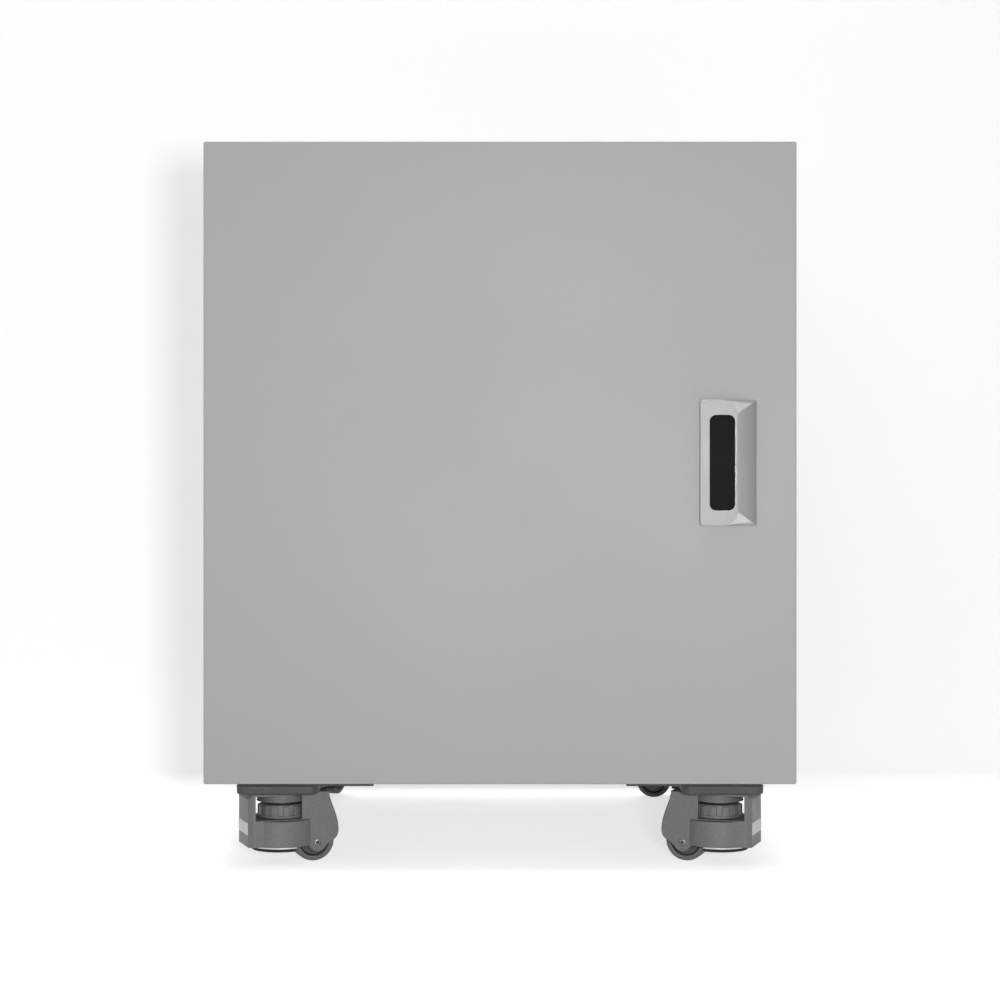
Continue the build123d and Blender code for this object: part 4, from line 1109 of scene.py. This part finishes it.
PORTS = 4
PORT_PITCH = 16.5 * MM
PINS = 8
PIN_PITCH = 1.1 * MM
PIN_HALF = 0.25 * MM
SHELL = 0.8 * MM  # sheet of each socket's metal shell
mesh = bmesh.new()
for middle in BAY_MIDDLES:
    back = FASCIA_Y + 3.4 * MM
    z = middle + PORT_Z
    low = (PORT_X - 34.5 * MM, back, z - 6.7 * MM)
    block(mesh, low, (PORT_X + 34.5 * MM, back + 12 * MM, z + 6.7 * MM))
    shell_low, shell_high = z - 5.8 * MM, z + 5.8 * MM
    for column in range(PORTS):
        x = PORT_X + (column - (PORTS - 1) / 2) * PORT_PITCH
        for dx in (-6.9 * MM, 6.1 * MM):
            block(mesh, (x + dx, back - 3.0 * MM, shell_low), (x + dx + SHELL, back, shell_high), 1)
        for sill in (shell_low, shell_high - SHELL):
            block(mesh, (x - 6.1 * MM, back - 3.0 * MM, sill), (x + 6.1 * MM, back, sill + SHELL), 1)
        for pin in range(PINS):
            px = x + (pin - (PINS - 1) / 2) * PIN_PITCH
            low = (px - PIN_HALF, back - 1.4 * MM, shell_high - 3.4 * MM)
            block(mesh, low, (px + PIN_HALF, back, shell_high - SHELL), 2)
sockets = finished_mesh("port_sockets", mesh, [black_plastic, zinc, brass], "cabinet")
soften(sockets, 0.15 * MM, 1, 50.0)

LENSES = 5
LENS_PITCH = 9.0 * MM
mesh = bmesh.new()
for middle in BAY_MIDDLES:
    for number in range(LENSES):
        x = PORT_X + (number - (LENSES - 1) / 2) * LENS_PITCH
        stand = facing((x, FASCIA_Y, middle + LENS_Z), (0, -1, 0))
        turned(mesh, [(2.6 * MM, 0), (2.6 * MM, 0.7 * MM), (1.9 * MM, 0.9 * MM)], stand, 28, [1, 1])
        dome = [(1.9 * MM * cos(k * pi / 10), 0.7 * MM + 1.2 * MM * sin(k * pi / 10)) for k in range(6)]
        turned(mesh, dome[:-1] + [(0, 1.9 * MM)], stand, 28)
lenses = finished_mesh("indicator_lenses", mesh, [lens_material, black_plastic], "cabinet")
smooth_shade(lenses, 35)


# Busbars: the two bars that the modules' leads go to. Bare copper, rolled lengthwise and dulled by handling,
# bolted to ribbed insulators of red cast epoxy.
copper = finish(
    "busbar_copper",
    (0.72, 0.33, 0.19),
    (0.58, 0.25, 0.14),
    (0.85, 0.46, 0.30),
    {
        "Speck": 0.5, "Grain Scale": 160.0, "Cloud Scale": 14.0, "Cloud": 0.14,
        "Roughness": 0.34, "Roughness Spread": 0.12,
    },
    {"Radius": 0.0006, "Wear And Light": 0.6, "Patch Scale": 50.0},
    bump=0.06,
    metallic=1.0,
)
epoxy = finish(
    "insulator_epoxy",
    (0.36, 0.035, 0.022),
    (0.30, 0.028, 0.018),
    (0.50, 0.08, 0.05),
    {
        "Speck": 0.4, "Grain Scale": 500.0, "Cloud Scale": 30.0, "Cloud": 0.06,
        "Roughness": 0.32, "Roughness Spread": 0.06,
    },
    {"Radius": 0.0006, "Wear And Light": 0.3, "Patch Scale": 50.0},
    bump=0.15,
    coat=0.2,
)
paint(copper, "busbars")
bar_low, bar_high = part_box("busbars")
ring_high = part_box("busbar_insulators")[1]
BAR_X = bar_high[0] - 13.0 * MM
BAR_MIDDLE = (bar_low[2] + bar_high[2]) / 2
BAR_PITCH = 175.0 * MM
RIBS = 2
RIB_PITCH = 7  # in mm, as the insulator's profile below
RIB_STEPS = 8
mesh = bmesh.new()
for side in (-1, 1):
    for step in (-1, 0, 1):
        stand = facing((side * BAR_X, ring_high[1], BAR_MIDDLE + step * BAR_PITCH), (0, -1, 0))
        profile = [(0, 0), (11 * MM, 0), (11 * MM, 3 * MM)]
        for rib in range(RIBS):
            base = 3 + RIB_PITCH * rib
            for i in range(1, RIB_STEPS + 1):
                turn = 2 * pi * i / RIB_STEPS
                profile.append(((9.75 + 1.25 * cos(turn)) * MM, (base + RIB_PITCH * i / RIB_STEPS) * MM))
        profile += [(11 * MM, 18 * MM), (9 * MM, 20.5 * MM), (10 * MM, 23 * MM)]
        profile += [(10 * MM, 26 * MM), (0, 26 * MM)]
        turned(mesh, profile, stand, 40, [0] * (len(profile) - 1))
        top = 32.0 * MM
        seat = top + 1.4 * MM
        turned(mesh, [(4 * MM, top), (8 * MM, top), (8 * MM, seat), (4 * MM, seat)], stand, 36, [1] * 3)
        nut = [(4 * MM, seat), (6.4 * MM, seat), (7.4 * MM, top + 2.0 * MM), (7.4 * MM, top + 5.6 * MM)]
        nut += [(6.4 * MM, top + 6.0 * MM), (4 * MM, top + 6.0 * MM)]
        turned(mesh, nut, stand, 6, [1] * 5)
        shaft = thread_profile(4.0 * MM, 2.0 * MM, 1.0 * MM, top + 6.0 * MM)
        turned(mesh, [*shaft, (0, top + 8.0 * MM)], stand, 24, [1] * len(shaft))
insulators = finished_mesh("insulators", mesh, [epoxy, zinc], "cabinet")
smooth_shade(insulators, 40)
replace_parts(insulators, "busbar_insulators")
